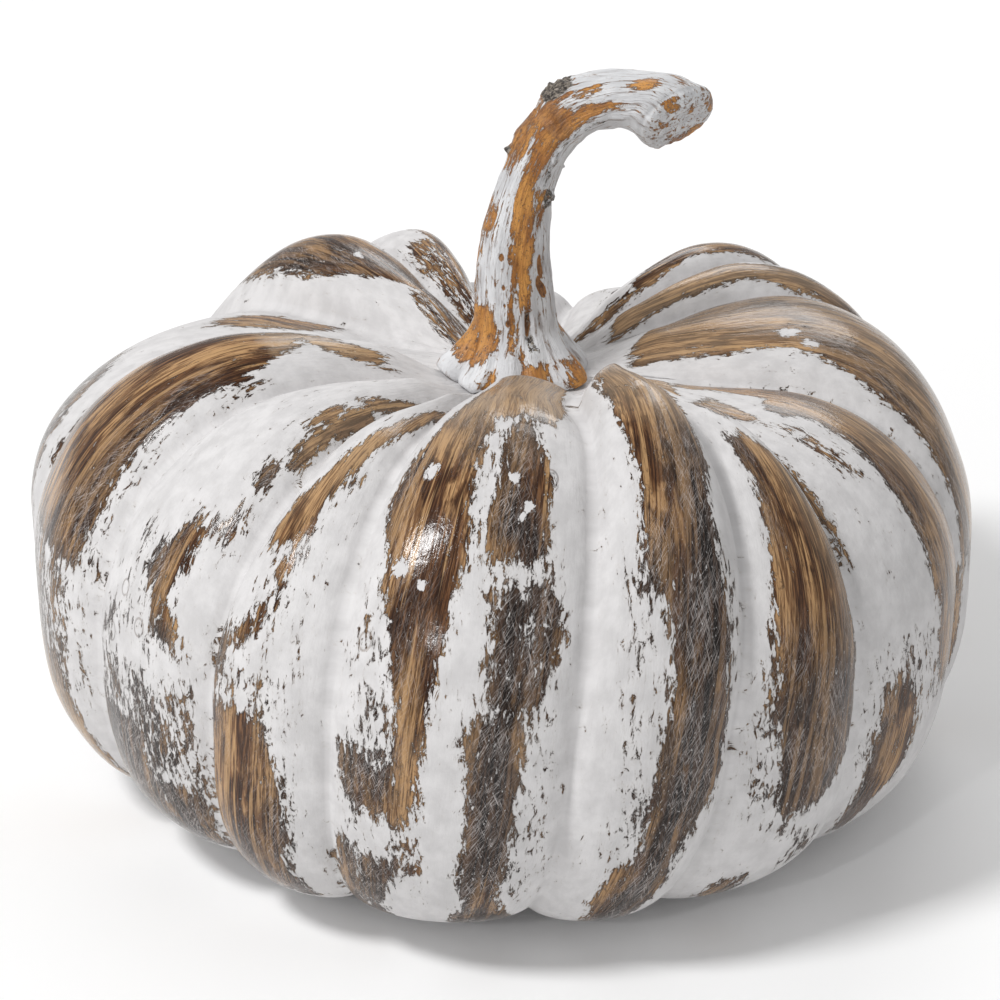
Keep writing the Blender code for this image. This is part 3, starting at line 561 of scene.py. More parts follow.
def lobe_profile(index, side):
    """Bulge, crown height and fullness at each place across the lobes: full is 1 on a crest, 0 in a valley."""
    bulge = np.array([lobe[1] for lobe in LOBES])
    crown = np.array([lobe[2] for lobe in LOBES])
    other = (index + np.where(side > 0, 1, -1)) % len(LOBES)
    soft = VALLEY_SOFTNESS
    arch = np.cos(math.pi * side / 2)
    full = (np.hypot(arch, soft) - soft) / (math.hypot(1.0, soft) - soft)
    full = np.clip(full, 0, None) ** VALLEY_POWER
    edge_bulge = (bulge[index] + bulge[other]) / 2
    edge_crown = (crown[index] + crown[other]) / 2
    return mix(edge_bulge, bulge[index], full), mix(edge_crown, crown[index], full), full


def body_levels():
    """Level of each mesh row, from the socket down and in under the base to the vent."""
    crown = np.linspace(SOCKET_RADIUS / CROWN_RADIUS, 1, CROWN_ROWS, endpoint=False)
    shoulder = np.linspace(1, 2, SHOULDER_ROWS, endpoint=False)
    lower = np.linspace(2, 3, LOWER_ROWS, endpoint=False)
    base = 3 + np.linspace(0, 1, BASE_ROWS + 1) ** BASE_CROWDING
    return np.concatenate((crown, shoulder, lower, base))


def outer_surface(levels, cols):
    """Points[row, column] of the outer wall, and the azimuth of each in radians."""
    index = cols[:, 0].astype(int)
    bulge, crown, full = lobe_profile(index, cols[:, 1])
    widest = bulge * RADIUS * (1 - VALLEY_DEPTH * (1 - full))
    rim = crown * CROWN_HEIGHT - VALLEY_DROP * (1 - full)
    level = levels[:, None]
    inner = smoothstep((SPREAD_START - level) / (SPREAD_START - SPREAD_END))
    rim = rim - inner * END_ROUNDING * (full - full ** END_POWER) + inner * FRONT_LIFT * full * (index == 0)
    in_crown = np.clip(level, 0, 1)
    crown_r = CROWN_RADIUS * in_crown + 0 * rim
    flat = around(cols[:, 2] + cols[:, 3], DIMPLE_FLAT)
    climb = np.sin(math.pi / 2 * in_crown) ** DIMPLE_POWER * smoothstep((in_crown - flat) / DIMPLE_RISE)
    crown_z = mix(DIMPLE_HEIGHT, rim, climb)
    angle = np.clip(level - 1, 0, 1) * math.pi / 2
    shoulder_r = CROWN_RADIUS + (widest - CROWN_RADIUS) * np.sin(angle) ** SHOULDER_POWER
    shoulder_z = WIDEST_HEIGHT + (rim - WIDEST_HEIGHT) * np.cos(angle) ** SHOULDER_POWER
    angle = np.clip(level - 2, 0, 1) * math.pi / 2
    lower_r = BASE_RADIUS + (widest - BASE_RADIUS) * np.clip(np.cos(angle), 0, None) ** LOWER_POWER
    lift = VALLEY_LIFT * (1 - full)
    lower_z = WIDEST_HEIGHT - (WIDEST_HEIGHT - lift) * np.sin(angle) ** LOWER_POWER
    base_r = mix(BASE_RADIUS, VENT_RADIUS, np.clip(level - 3, 0, 1)) + 0 * rim
    base_z = lift * smoothstep((base_r - FLAT_RADIUS) / (BASE_RADIUS - FLAT_RADIUS))
    radius = np.select([level < 1, level < 2, level < 3], [crown_r, shoulder_r, lower_r], base_r)
    height = np.select([level < 1, level < 2, level < 3], [crown_z, shoulder_z, lower_z], base_z)
    turn = np.clip(2 - level, -1, 1)
    azimuth = cols[:, 2] + cols[:, 3] * turn
    azimuth = np.radians(azimuth + around(azimuth, SPREAD) * inner)
    x = radius * np.sin(azimuth)
    y = BACK_LEAN * height - radius * np.cos(azimuth)
    return np.stack((x, y, height), axis=-1), azimuth


def surface_normals(points):
    across = np.roll(points, -1, axis=1) - np.roll(points, 1, axis=1)
    normals = np.cross(np.gradient(points, axis=0), across)
    return normals / np.linalg.norm(normals, axis=-1, keepdims=True)


def patch_cover(patches, level, azimuth, edge, end):
    """How much each patch covers each point, at its strongest."""
    cover = np.zeros(level.shape)
    for strength, stations in patches:
        stops = [station[0] for station in stations]
        left = np.interp(level, stops, [station[1] for station in stations])
        right = np.interp(level, stops, [station[2] for station in stations])
        turned = (azimuth - left + 60) % 360 - 60
        inside = np.minimum(turned, right - left - turned)
        across = np.clip(inside / edge + 0.5, 0, 1)
        ends = np.clip(np.minimum(level - stops[0], stops[-1] - level) / end + 0.5, 0, 1)
        cover = np.maximum(cover, strength * np.minimum(across, ends))
    return cover


def body_object():
    cols = body_columns()
    levels = body_levels()
    rows = len(levels)
    points, azimuth = outer_surface(levels, cols)
    level_grid = np.repeat(levels[:, None], len(cols), axis=1)
    column_grid = np.repeat(cols[None, :, 2], rows, axis=0)
    normals = surface_normals(points)
    edge_fade = (smoothstep((level_grid - SKIN_FROM) / SKIN_FADE)
                 * smoothstep((SKIN_TO - level_grid) / SKIN_FADE))
    points = points + normals * ((layered_noise(points, DENTS) - SKIN_INSET) * edge_fade)[..., None]

    # the inner wall, from the vent up, then the boss round the socket
    inner = [points[j] - normals[j] * WALL for j in range(rows - 2, CROWN_ROWS // 2 - 2, -INNER_STEP)]
    crown = azimuth[0]
    foot = np.radians(cols[:, 2] - cols[:, 3])
    lean = BACK_LEAN * DIMPLE_HEIGHT

    def ring(radius, height, angles, shift):
        circle = (radius * np.sin(angles), shift - radius * np.cos(angles), 0 * angles + height)
        return np.stack(circle, axis=-1)

    boss_floor = DIMPLE_HEIGHT - SOCKET_DEPTH
    inner.insert(0, ring(VENT_RADIUS, WALL, foot, 0.0))
    inner.append(ring(BOSS_RADIUS, DIMPLE_HEIGHT - WALL, crown, lean))
    inner.append(ring(BOSS_RADIUS, boss_floor, crown, lean))
    inner.append(ring(SOCKET_RADIUS, boss_floor, crown, lean))
    points[0] = ring(SOCKET_RADIUS, DIMPLE_HEIGHT, crown, lean)
    whole = np.concatenate((points, np.stack(inner))) + np.array((CROWN_X, CROWN_Y - lean, BASE_Z))
    mesh = grid_mesh("pumpkin_body", whole)

    # what the paint needs to know at each point
    shape = whole.shape[:2]
    extra = len(inner)
    steps = np.linalg.norm(np.diff(points, axis=0), axis=-1).mean(axis=1)
    travel = np.concatenate(([0.0], np.cumsum(steps)))
    travel = np.concatenate((travel, travel[-1] + INNER_TRAVEL * np.arange(1, extra + 1)))
    turn = np.radians(cols[:, 2])
    flow = (RADIUS * np.sin(turn), -RADIUS * np.cos(turn), travel[:, None])
    add_attribute(mesh, "flow", np.stack([np.broadcast_to(part, shape) for part in flow], axis=-1))
    # the third attribute carries the patches of painted sheen, a pale tan that stands in for reflection
    for name, patches, spread in (("bare", BARE, 1), ("dark", DARK, 2), ("painted_sheen", PAINTED_SHEEN, 3)):
        cover = patch_cover(patches, level_grid, column_grid, spread * PATCH_EDGE, spread * PATCH_END)
        add_attribute(mesh, name, np.pad(cover, ((0, extra), (0, 0))))
    add_attribute(mesh, "inside", np.pad(np.zeros((rows, len(cols))), ((0, extra), (0, 0)), constant_values=1.0))

    def marks(table):
        """The place on the flow and the size of each mark."""
        for level, degrees, size in table:
            where = math.radians(degrees)
            down = float(np.interp(level, levels, travel[:rows]))
            yield (RADIUS * math.sin(where), -RADIUS * math.cos(where), down), size

    return new_object("pumpkin_body", mesh, paint_material(marks(SPOTS), marks(RINGS)))


# ---------------------------------------------------------------- stem

def spline(stations, count):
    """Points along a Catmull-Rom curve through the stations, evenly spaced by length."""
    knots = np.array(stations)
    knots = np.vstack((2 * knots[0] - knots[1], knots, 2 * knots[-1] - knots[-2]))
    dense = []
    for k in range(1, len(knots) - 2):
        a, b, c, d = knots[k - 1:k + 3]
        for t in np.linspace(0, 1, 24, endpoint=False):
            dense.append(0.5 * (2 * b + (c - a) * t + (2 * a - 5 * b + 4 * c - d) * t ** 2
                                + (3 * b - a - 3 * c + d) * t ** 3))
    dense.append(knots[-2])
    dense = np.array(dense)
    travel = np.concatenate(([0], np.cumsum(np.hypot(*np.diff(dense[:, :2], axis=0).T))))
    even = np.linspace(0, travel[-1], count)
    return even, np.stack([np.interp(even, travel, dense[:, k]) for k in range(3)], axis=1)


def toe_reach(azimuth):
    """Reach of the foot and fullness of the toe at each azimuth in degrees."""
    reach = np.zeros(azimuth.shape)
    full = np.zeros(azimuth.shape)
    for k, (start, length) in enumerate(TOES):
        end = TOES[(k + 1) % len(TOES)][0]
        width = (end - start) % 360
        along = (azimuth - start) % 360 / width
        here = along < 1
        bow = 1 - np.abs(2 * along - 1) ** TOE_POWER
        full = np.where(here, bow, full)
        reach = np.where(here, GROOVE_RADIUS + (length - GROOVE_RADIUS) * bow, reach)
    return reach, full


def crown_height(x, y, points):
    """Height of the body's crown under each place, from its mesh rows near the stem."""
    rows = points[:CROWN_ROWS]
    radius = np.hypot(rows[..., 0], rows[..., 1] - BACK_LEAN * rows[..., 2])
    angle = np.arctan2(rows[..., 0], -(rows[..., 1] - BACK_LEAN * rows[..., 2]))
    wanted = np.hypot(x, y - BACK_LEAN * DIMPLE_HEIGHT)
    turned = np.arctan2(x, -(y - BACK_LEAN * DIMPLE_HEIGHT))
    heights = []
    for r, a in zip(wanted.ravel(), turned.ravel()):
        gap = (angle[10] - a + math.pi) % (2 * math.pi) - math.pi
        near = np.argsort(np.abs(gap))[:5]
        heights.append(max(np.interp(r, radius[:, k], rows[:, k, 2]) for k in near))
    return np.array(heights).reshape(wanted.shape)


def stem_flow(phi, lengths):
    """Places on a cylinder about as thick as the stem, as high as the length along it."""
    return np.stack((FLOW_RADIUS * np.sin(phi) + 0 * lengths, -FLOW_RADIUS * np.cos(phi) + 0 * lengths, lengths),
                    axis=-1)


def foot_rings(first, reach, phi, lean, body):
    """Rings and lengths of the foot, from the toes' undersides up the flare."""
    floor_z = crown_height(first[0] + reach * np.sin(phi), lean - reach * np.cos(phi), body) + FOOT_GAP
    rings = []
    lengths = []
    for share, left in FLARE[:0:-1]:
        ring_r = mix(first[2], reach, share)
        ring_z = mix(floor_z, first[1], left)
        rings.append((first[0] + ring_r * np.sin(phi), lean - ring_r * np.cos(phi), ring_z))
        lengths.append(ring_z - first[1] + STEM_START)
    return rings, lengths


def shaft_rings(travel, line, full, phi, lean):
    """Rings and lengths of the shaft and hook: square to the centre line, the last ones slanting into the cut."""
    slope = np.gradient(line[:, :2], axis=0)
    slope = slope / np.linalg.norm(slope, axis=1, keepdims=True)
    tip_x, tip_z = slope[-1]
    normal = np.array(CUT_NORMAL)
    offset = line[-1, 2] * (np.sin(phi)[:, None] * np.array((tip_z, 0, -tip_x))
                            + np.cos(phi)[:, None] * np.array((0, -1, 0)))
    reach_on = -(offset @ normal) / (np.array((tip_x, 0, tip_z)) @ normal)
    rings = []
    lengths = []
    for k, ((x, z, r), (dx, dz)) in enumerate(zip(line, slope)):
        shift = reach_on * smoothstep((travel[k] - travel[-1] + CUT_REACH) / CUT_REACH)
        flute = 1 + FLUTE_DEPTH * (full - FLUTE_MEAN) * (1 - smoothstep((travel[k] - FLUTE_FROM) / FLUTE_FADE))
        last = max(0, k - (STEM_ROWS - 1 - TAPERED_ROWS)) / TAPERED_ROWS
        ring_r = r * flute * (1 - TAPER * last ** 2)
        px = x + dx * shift + ring_r * np.sin(phi) * dz
        pz = z + dz * shift - ring_r * np.sin(phi) * dx
        rings.append((px, lean - ring_r * np.cos(phi), pz))
        lengths.append(travel[k] + shift)
    return rings, lengths


def stem_push(azimuth, lengths, seam):
    """How far the bark, lumps, bumps and wrinkles stand out from the stem's smooth shape."""
    push = layered_noise(seam * np.array((1, 1, GRAIN_SQUASH)), STEM_GRAIN) + layered_noise(seam, STEM_LUMPS)
    coarse = layered_noise(seam, STEM_COARSE)
    for at, turn, half, wide, height, rough in BUMPS:
        away = ((lengths - at) / half) ** 2 + (((azimuth - turn + 180) % 360 - 180) / wide) ** 2
        push += np.exp(-away * 1.1) * (height + rough * coarse)
    wrinkle = lengths + 0.0011 * np.sin(np.radians(azimuth * 2.3)) + lattice_noise(seam, 0.004, 17) * 0.0007
    zone = np.exp(-((lengths - WRINKLE_AT) / WRINKLE_HALF) ** 2)
    zone *= smoothstep((40 - np.abs(azimuth - WRINKLE_MIDDLE)) / 30)
    return push + zone * WRINKLE_HEIGHT * np.sin(wrinkle / WRINKLE_PITCH)


def face_rings(rim):
    """Rings of the cut face, slightly hollow and rounded at its rim."""
    middle = rim.mean(axis=0)
    inward = -np.array(CUT_NORMAL) / np.linalg.norm(CUT_NORMAL)
    rings = []
    for share in FACE_RINGS:
        ring = middle + (rim - middle) * share
        depth = CUT_HOLLOW * smoothstep((0.75 - share) / 0.5) - CUT_SWELL * math.sqrt(1 - share ** 2)
        rings.append(ring + inward * depth + np.outer(layered_noise(ring, FACE_ROUGH), inward))
    return rings


def tenon_rings(first, reach, phi, lean, body):
    """Rings under the foot: the tenon from its end up, then out along the crown."""
    tenon = np.stack((TENON_RADIUS * np.sin(phi), lean - TENON_RADIUS * np.cos(phi), 0 * phi), axis=-1)
    rings = [tenon + (0, 0, DIMPLE_HEIGHT - TENON_LENGTH), tenon + (0, 0, DIMPLE_HEIGHT + UNDER_GAP)]
    for share in reversed(UNDER_RINGS):
        x = first[0] + reach * share * np.sin(phi)
        y = lean - reach * share * np.cos(phi)
        rings.append(np.stack((x, y, crown_height(x, y, body) + UNDER_GAP), axis=-1))
    return rings


def stem_object():
    body, _ = outer_surface(body_levels(), body_columns())
    columns = np.arange(STEM_COLUMNS) * 360 / STEM_COLUMNS - 180
    phi = np.radians(columns)
    lean = BACK_LEAN * DIMPLE_HEIGHT
    travel, line = spline(STEM_LINE, STEM_ROWS)
    travel = travel + STEM_START
    first = line[0]
    reach, full = toe_reach(columns)
    foot, foot_lengths = foot_rings(first, reach, phi, lean, body)
    shaft, shaft_lengths = shaft_rings(travel, line, full, phi, lean)
    rings = np.array([np.stack(ring, axis=-1) for ring in foot + shaft])
    lengths = np.array(foot_lengths + shaft_lengths)
    azimuth = np.repeat(columns[None, :], len(rings), axis=0)

    # small shapes along the outward normals
    hold = smoothstep(np.arange(len(rings)) / 3)[:, None]
    push = stem_push(azimuth, lengths, stem_flow(phi, lengths)) * hold
    rings = rings - surface_normals(rings) * push[..., None]
    tenon = tenon_rings(first, reach, phi, lean, body)
    face = face_rings(rings[-1])
    whole = np.concatenate((np.array(tenon), rings, np.array(face))) + np.array((CROWN_X, CROWN_Y - lean, BASE_Z))
    mesh = grid_mesh("stem_detail", whole, capped=True)

    # what the paint needs to know at each point; share is the place on the cut face
    before = len(tenon)
    after = len(face)
    rim = lengths[-1]
    lengths = np.concatenate((np.repeat(lengths[:1], before, axis=0) - 0.003, lengths,
                              rim + np.linspace(0.0004, 0.009, after)[:, None]))
    azimuth = np.repeat(columns[None, :], len(whole), axis=0)
    share = np.zeros(lengths.shape)
    share[-after:] = np.array(FACE_RINGS)[:, None]
    on_face = share > 0
    along = lengths * 1000
    tan = patch_cover(TAN, along, azimuth, *TAN_EDGES) * ~on_face
    for middle_turn, half_turn, middle_share, half_share, density in FACE_MARKS:
        inside = np.minimum(1 - np.abs(azimuth % 360 - middle_turn) / half_turn,
                            1 - np.abs(share - middle_share) / half_share)
        tan = np.maximum(tan, on_face * density * smoothstep(inside * 2))
    flow = stem_flow(phi, lengths)
    flow[-after:, :, :2] *= share[-after:, :, None]
    flow[-after:, :, 2] = rim.mean() + share[-after:] * (rim - rim.mean())
    add_attribute(mesh, "flow", flow)
    add_attribute(mesh, "bare", tan)
    add_attribute(mesh, "dark", patch_cover(SOOT, along, azimuth, *SOOT_EDGES))
    add_attribute(mesh, "pool", patch_cover(POOLS, along, azimuth, *POOL_EDGES))
    return new_object("stem_detail", mesh, stem_material())


# ---------------------------------------------------------------- node helpers

class Nodes:
    """A small helper that makes and links shader nodes."""

    def __init__(self, name):
        self.material = bpy.data.materials.new(name)
        self.material.use_nodes = True
        self.tree = self.material.node_tree
        self.shader = self.tree.nodes["Principled BSDF"]

    def connect(self, node, sockets):
        """Set or link a node's inputs, given by name or number."""
        for name, source in sockets.items():
            if isinstance(source, (int, float, tuple)):
                node.inputs[name].default_value = source
            else:
                self.tree.links.new(source, node.inputs[name])

    def add(self, kind, sockets=(), **settings):
        node = self.tree.nodes.new("ShaderNode" + kind)
        for name, value in settings.items():
            setattr(node, name, value)
        self.connect(node, dict(sockets))
        return node

    def attribute(self, name, kind="Fac"):
        return self.add("Attribute", attribute_name=name).outputs[kind]

    def place(self):
        return self.add("TexCoord").outputs["Object"]

    def math(self, operation, a, b=0.0):
        return self.add("Math", {0: a, 1: b}, operation=operation).outputs[0]

    def plus(self, a, b):
        return self.math("ADD", a, b)

    def minus(self, a, b):
        return self.math("SUBTRACT", a, b)

    def times(self, a, b):
        return self.math("MULTIPLY", a, b)

    def most(self, a, b):
        return self.math("MAXIMUM", a, b)

    def weighted(self, *parts):
        """The sum of (value, weight) pairs."""
        total = self.times(*parts[0])
        for value, weight in parts[1:]:
            total = self.plus(total, self.times(value, weight))
        return total

    def roughened(self, value, texture, amount):
        """The value pushed up and down by a texture with a mean of one half."""
        return self.plus(value, self.times(self.minus(texture, 0.5), amount))

    def scaled(self, vector, scale):
        return self.add("VectorMath", {0: vector, 1: scale}, operation="MULTIPLY").outputs[0]

    def distance(self, vector, place):
        return self.add("VectorMath", {0: vector, 1: place}, operation="DISTANCE").outputs["Value"]

    def leaning(self, flow, lean):
        """The flow wound round as it goes down, so that streaks along it lean to one side."""
        down = self.add("SeparateXYZ", {0: flow}).outputs[2]
        turn = self.times(down, lean / RADIUS)
        return self.add("VectorRotate", {"Vector": flow, "Angle": turn}, rotation_type="Z_AXIS").outputs[0]

    def noise(self, vector, scale, detail, rough, distortion=0.0):
        return self.add("TexNoise", {"Vector": vector, "Scale": scale, "Detail": detail, "Roughness": rough,
                                     "Distortion": distortion}).outputs["Fac"]

    def streaks(self, flow, squash, scale, detail, rough, distortion=0.0, lean=None):
        """Noise drawn out along the flow, the more so the smaller the squash, and leaning to one side."""
        if lean is not None:
            flow = self.leaning(flow, lean)
        return self.noise(self.scaled(flow, (1, 1, squash)), scale, detail, rough, distortion)

    def ramp(self, value, low, high, out_low=0.0, out_high=1.0):
        return self.add("MapRange", {"Value": value, "From Min": low, "From Max": high, "To Min": out_low,
                                     "To Max": out_high}, interpolation_type="SMOOTHSTEP").outputs["Result"]

    def blend(self, factor, a, b):
        return self.add("Mix", {"Factor": factor, "A": a, "B": b}, data_type="RGBA").outputs["Result"]

    def bump(self, height, distance, strength=1.0):
        return self.add("Bump", {"Height": height, "Distance": distance, "Strength": strength}).outputs["Normal"]

    def finish(self, colour, roughness, normal=None):
        self.connect(self.shader, {"Base Color": colour, "Roughness": roughness})
        if normal is not None:
            self.connect(self.shader, {"Normal": normal})
        return self.material


def srgb(red, green, blue):
    """A linear colour from 0-255 screen values."""
    linear = [(c / 255 / 12.92) if c <= 10 else ((c / 255 + 0.055) / 1.055) ** 2.4 for c in (red, green, blue)]
    return (*linear, 1.0)


# ---------------------------------------------------------------- materials

def streaked_wood(n, flow):
    """Tan and dark brown grain along the meridians, near black and scratched where dark is 1, and lightened to a pale
    tan where a sheen is painted in.
    """
    fine = n.streaks(flow, 0.06, 1500, 3, 0.6, lean=0.10)
    medium = n.streaks(flow, 0.05, 620, 4, 0.62, 0.5, lean=-0.12)
    wide = n.streaks(flow, 0.16, 150, 4, 0.6, 0.6)
    blotch = n.streaks(flow, 0.5, 90, 5, 0.6, 0.4)
    grain = n.weighted((fine, 0.5), (medium, 0.5))
    lines = n.streaks(flow, 0.035, 2600, 2, 0.6, lean=0.04)
    bands = n.streaks(flow, 0.045, 360, 3, 0.6, lean=0.07)
    tan = n.blend(n.ramp(grain, 0.43, 0.52), srgb(106, 74, 47), srgb(180, 142, 100))
    brown = n.blend(n.ramp(grain, 0.46, 0.60), srgb(60, 36, 21), srgb(122, 85, 54))
    choice = n.weighted((wide, 0.45), (medium, 0.25), (blotch, 0.30))
    wood = n.blend(n.ramp(choice, 0.46, 0.53), tan, brown)
    umber = n.blend(n.ramp(fine, 0.4, 0.65), srgb(40, 22, 12), srgb(94, 60, 36))
    wood = n.blend(n.times(n.ramp(blotch, 0.53, 0.60), 0.85), wood, umber)
    wood = n.blend(n.times(n.ramp(bands, 0.56, 0.60), 0.75), wood, srgb(186, 148, 104))
    wood = n.blend(n.times(n.ramp(lines, 0.54, 0.62), 0.60), wood, srgb(44, 27, 17))
    hatch_one = n.streaks(flow, 0.055, 3400, 2, 0.6, lean=0.60)
    hatch_two = n.streaks(flow, 0.055, 3400, 2, 0.6, lean=-0.50)
    hatch_three = n.streaks(flow, 0.09, 3600, 2, 0.6, lean=1.3)
    scratch = n.most(n.ramp(hatch_one, 0.56, 0.64), n.ramp(hatch_two, 0.57, 0.65))
    scratch = n.most(scratch, n.ramp(hatch_three, 0.58, 0.66))
    rubbed = n.streaks(flow, 0.45, 170, 4, 0.6, 0.4)
    scratch = n.times(scratch, n.ramp(rubbed, 0.40, 0.56, 0.25, 1.0))
    speck = n.streaks(flow, 0.6, 1700, 3, 0.7)
    night = n.blend(n.ramp(grain, 0.44, 0.58), srgb(20, 15, 13), srgb(70, 55, 46))
    night = n.blend(n.times(n.ramp(bands, 0.56, 0.60), 0.4), night, srgb(134, 106, 82))
    night = n.blend(n.times(scratch, 0.72), night, srgb(188, 181, 178))
    night = n.blend(n.ramp(speck, 0.64, 0.68), night, srgb(202, 200, 199))
    # painted sheen: the wood lightened towards pale tan in the sheen table's patches, standing in for the satin
    # reflection at grazing angles
    painted_sheen = n.times(n.attribute("painted_sheen"), n.ramp(grain, 0.40, 0.62, 0.36, 0.62))
    wood = n.blend(painted_sheen, wood, srgb(190, 167, 139))
    depth = n.times(n.attribute("dark"), n.ramp(blotch, 0.34, 0.50, 0.45, 1.0))
    return n.blend(depth, wood, night), grain, scratch


def paint_material(spots, rings):
    """Chalky white paint over a brown wood look, worn through in ragged streaks."""
    n = Nodes("weathered_paint")
    flow = n.attribute("flow", "Vector")
    wood, grain, scratch = streaked_wood(n, flow)
    # where the paint has come off: a wandering edge, flakes, and streaks left by the brush
    wander = n.streaks(flow, 0.6, 150, 3, 0.5)
    flake = n.streaks(flow, 0.55, 520, 7, 0.76, 0.6)
    streak = n.streaks(flow, 0.12, 800, 3, 0.6, lean=-0.25)
    ragged = n.weighted((wander, 0.20), (flake, 0.58), (streak, 0.22))
    signal = n.roughened(n.attribute("bare"), ragged, 4.2)
    for place, size in spots:
        edge = n.roughened(n.distance(flow, place), flake, size * 4)
        near = n.ramp(edge, size * 0.7, size * 1.3, 1.0, 0.0)
        signal = n.minus(signal, n.times(near, 1.6))
    worn = n.ramp(signal, 0.46, 0.54)
    for place, size in rings:
        off = n.math("ABSOLUTE", n.minus(n.distance(flow, place), size))
        worn = n.most(worn, n.ramp(off, 0.0001, 0.0004, 0.45, 0.0))
    # small flecks all over the white
    fleck = n.streaks(flow, 0.5, 420, 5, 0.75, 0.3)
    worn = n.most(worn, n.ramp(fleck, 0.715, 0.735))
    # white coat: chalky, a little dirty, thin enough in places to show a ghost of the brown
    dirt = n.noise(flow, 160, 5, 0.6)
    white = n.blend(n.ramp(dirt, 0.3, 0.7), srgb(199, 197, 197), srgb(215, 213, 213))
    ghost = n.times(n.ramp(signal, 0.22, 0.46), 0.22)
    white = n.blend(ghost, white, srgb(176, 168, 158))
    verge = n.times(n.ramp(signal, 0.50, 0.56), n.ramp(signal, 0.58, 0.80, 0.5, 0.0))
    wood = n.blend(verge, wood, srgb(44, 29, 20))
    colour = n.blend(worn, white, wood)
    colour = n.blend(n.attribute("inside"), colour, srgb(188, 170, 148))
    rough_white = n.ramp(dirt, 0.2, 0.8, 0.55, 0.75)
    rough_wood = n.ramp(grain, 0.3, 0.7, 0.07, 0.19)
    rough_wood = n.plus(rough_wood, n.times(scratch, 0.12))
    n.shader.inputs["Specular IOR Level"].default_value = 0.28
    rough = n.plus(n.times(worn, n.minus(rough_wood, rough_white)), rough_white)
    pebble = n.noise(flow, 420, 4, 0.6)
    brush = n.streaks(flow, 0.2, 240, 3, 0.6)
    height = n.weighted((n.minus(1.0, worn), 0.7), (pebble, 0.28), (brush, 0.45), (grain, 0.12))
    return n.finish(colour, rough, n.bump(height, 0.00045))


def stem_material():
    """Orange-tan base coat, dry-brushed with chalky white, dark in its cracks and on its bark."""
    n = Nodes("stem_paint")
    flow = n.attribute("flow", "Vector")
    pool = n.attribute("pool")
    grain = n.streaks(flow, 0.10, 1300, 4, 0.65)
    broad = n.streaks(flow, 0.35, 260, 4, 0.55)
    flake = n.streaks(flow, 0.45, 820, 8, 0.8, 0.6)
    speck = n.noise(flow, 1500, 4, 0.7)
    # base coat
    orange = n.blend(n.ramp(broad, 0.36, 0.64), srgb(164, 106, 46), srgb(208, 148, 74))
    orange = n.blend(n.times(n.ramp(grain, 0.52, 0.64), 0.6), orange, srgb(138, 88, 48))
    orange = n.blend(n.ramp(speck, 0.57, 0.64), orange, srgb(108, 70, 40))
    brown = n.blend(n.ramp(flake, 0.42, 0.58), srgb(96, 62, 38), srgb(168, 116, 66))
    orange = n.blend(pool, orange, brown)
    # white coat in brushed streaks, with a brown line along its edges
    ragged = n.weighted((flake, 0.50), (grain, 0.30), (broad, 0.20))
    signal = n.roughened(n.attribute("bare"), ragged, 7.0)
    worn = n.ramp(signal, 0.47, 0.56)
    verge = n.times(worn, n.ramp(signal, 0.60, 0.95, 0.75, 0.0))
    orange = n.blend(verge, orange, srgb(112, 72, 38))
    worn = n.most(worn, n.ramp(pool, 0.35, 0.6))
    white = n.blend(n.ramp(broad, 0.3, 0.7), srgb(200, 200, 202), srgb(226, 227, 229))
    white = n.blend(n.times(n.ramp(grain, 0.54, 0.63), 0.62), white, srgb(134, 122, 118))
    white = n.blend(n.times(n.ramp(signal, 0.28, 0.47), 0.35), white, srgb(196, 160, 122))
    colour = n.blend(worn, white, orange)
    # soot: speckled dark over either coat
    grime = n.ramp(n.roughened(n.attribute("dark"), flake, 2.6), 0.52, 0.68)
    black = n.blend(n.ramp(speck, 0.43, 0.60), srgb(46, 38, 33), srgb(146, 136, 124))
    colour = n.blend(grime, colour, black)
    rough_coat = n.ramp(broad, 0.3, 0.7, 0.34, 0.48)
    rough = n.plus(n.times(worn, n.minus(rough_coat, 0.66)), 0.66)
    height = n.weighted((n.minus(1.0, worn), 0.6), (grain, 0.9), (speck, 0.25))
    return n.finish(colour, rough, n.bump(height, 0.0007))


def glue_material():
    """Cured glue, slightly mottled."""
    n = Nodes("cured_glue")
    mottling = n.noise(n.place(), 900, 5, 0.6)
    colour = n.blend(n.ramp(mottling, 0.3, 0.7), srgb(196, 178, 138), srgb(222, 208, 172))
    rough = n.ramp(mottling, 0.2, 0.8, 0.24, 0.37)
    return n.finish(colour, rough, n.bump(mottling, 0.0004, 0.6))


def felt_material():
    """Dark brown felt: a mat of short fibres over soft mottling."""
    n = Nodes("brown_felt")
    place = n.place()
    fibre = n.noise(n.scaled(place, (1, 0.25, 1)), 4200, 4, 0.7, 2.0)
    cross = n.noise(n.scaled(place, (0.25, 1, 1)), 3900, 4, 0.7, 2.0)
    mottle = n.noise(place, 500, 3, 0.6)
    mat = n.most(fibre, cross)
    dark = n.blend(n.ramp(mottle, 0.35, 0.65), srgb(46, 38, 32), srgb(66, 55, 46))
    colour = n.blend(n.ramp(mat, 0.52, 0.70), dark, srgb(104, 90, 76))
    n.shader.inputs["Sheen Weight"].default_value = 0.4
    return n.finish(colour, 0.95, n.bump(mat, 0.0005, 0.8))


# ---------------------------------------------------------------- stage

CAMERA_ELEVATION = 25.97
CAMERA_DISTANCE = 7.415 * RADIUS
SENSOR_WIDTH = 36.0
CAMERA_LENS = SENSOR_WIDTH * 492.68 * 7.415 / 1000
SHIFT_X = -0.0188
SHIFT_Y = 0.0387


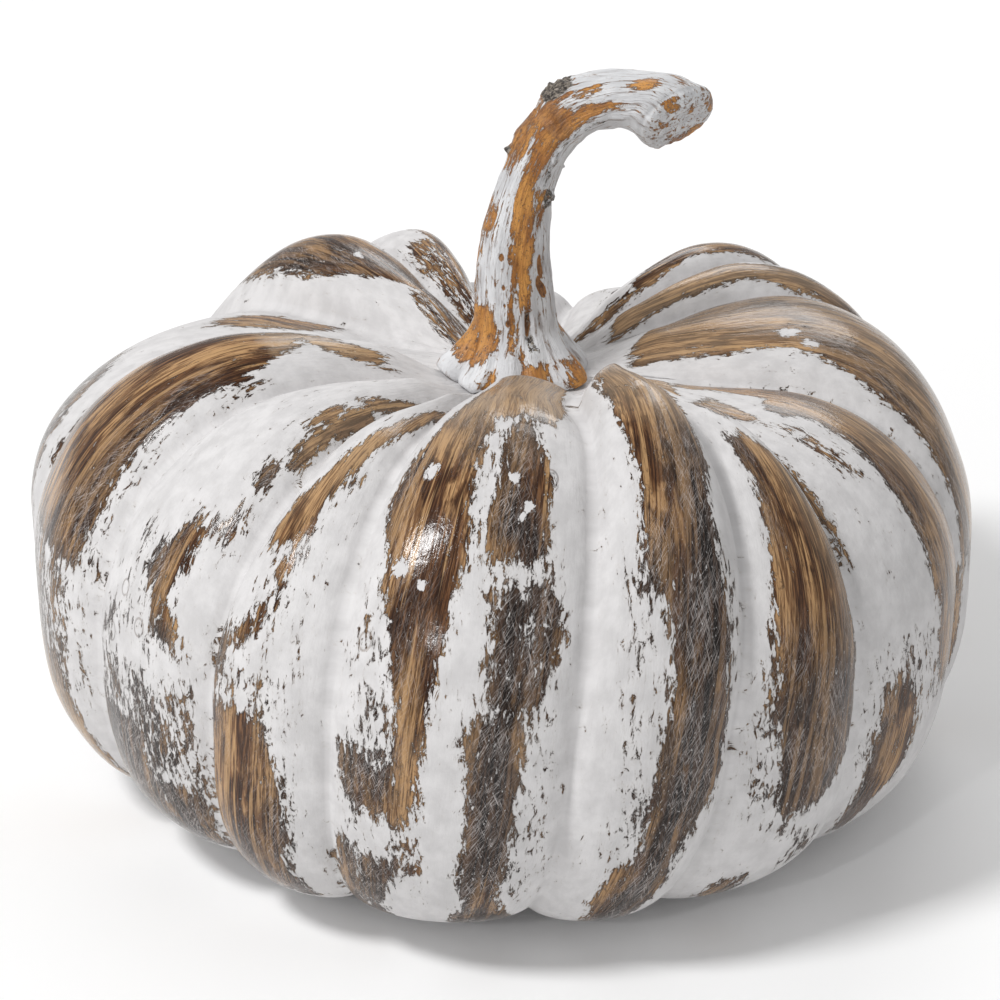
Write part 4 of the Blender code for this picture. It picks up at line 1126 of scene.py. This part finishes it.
def make_camera():
    data = bpy.data.cameras.new("camera")
    camera = bpy.data.objects.new("camera", data)
    bpy.context.scene.collection.objects.link(camera)
    data.lens = CAMERA_LENS
    data.sensor_width = SENSOR_WIDTH
    data.shift_x = SHIFT_X
    data.shift_y = SHIFT_Y
    tilt = math.radians(CAMERA_ELEVATION)
    aim = Vector((CROWN_X, CROWN_Y - BACK_LEAN * DIMPLE_HEIGHT, WIDEST_HEIGHT + BASE_Z))
    camera.location = aim + Vector((0, -math.cos(tilt), math.sin(tilt))) * CAMERA_DISTANCE
    camera.rotation_euler = (math.pi / 2 - tilt, 0, 0)
    bpy.context.scene.camera = camera


def make_floor():
    bpy.ops.mesh.primitive_plane_add(size=6.0, location=(0, 0, CAD_BOX[0][2] - 0.0002))
    floor = bpy.context.object
    floor.name = "floor"
    n = Nodes("floor")
    floor.data.materials.append(n.finish(srgb(250, 250, 250), 0.9))


def add_light(name, place, size, power, aim=(0, 0, 0.07)):
    data = bpy.data.lights.new(name, "AREA")
    data.shape = "DISK"
    data.size = size
    data.energy = power
    light = bpy.data.objects.new(name, data)
    bpy.context.scene.collection.objects.link(light)
    light.location = place
    direction = Vector(aim) - Vector(place)
    light.rotation_euler = direction.to_track_quat("-Z", "Y").to_euler()


def make_lights():
    bpy.context.scene.view_settings.view_transform = "Standard"
    world = bpy.data.worlds.new("studio")
    bpy.context.scene.world = world
    world.use_nodes = True
    background = world.node_tree.nodes["Background"]
    background.inputs["Color"].default_value = (1.0, 1.0, 1.0, 1.0)
    background.inputs["Strength"].default_value = 0.46
    add_light("key", (-0.92, -0.47, 1.45), 0.4, 18.5)
    add_light("glint", (-0.72, -1.45, 0.88), 0.07, 2.6)
    add_light("fill", (1.1, -0.8, 0.7), 1.0, 0.6)
    add_light("back", (0.3, 1.2, 0.9), 0.8, 6.0)


def main():
    body = body_object()
    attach(body, "root")
    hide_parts("body_shell")
    stem = stem_object()
    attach(stem, "root")
    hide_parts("stem")
    glue = glue_material()
    felt = felt_material()
    for name, finish in [("stem_adhesive", glue)] + [(f"foot_pad_{k}", felt) for k in (1, 2, 3, 4)]:
        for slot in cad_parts[name].material_slots:
            slot.material = finish
    make_camera()
    make_floor()
    make_lights()


main()
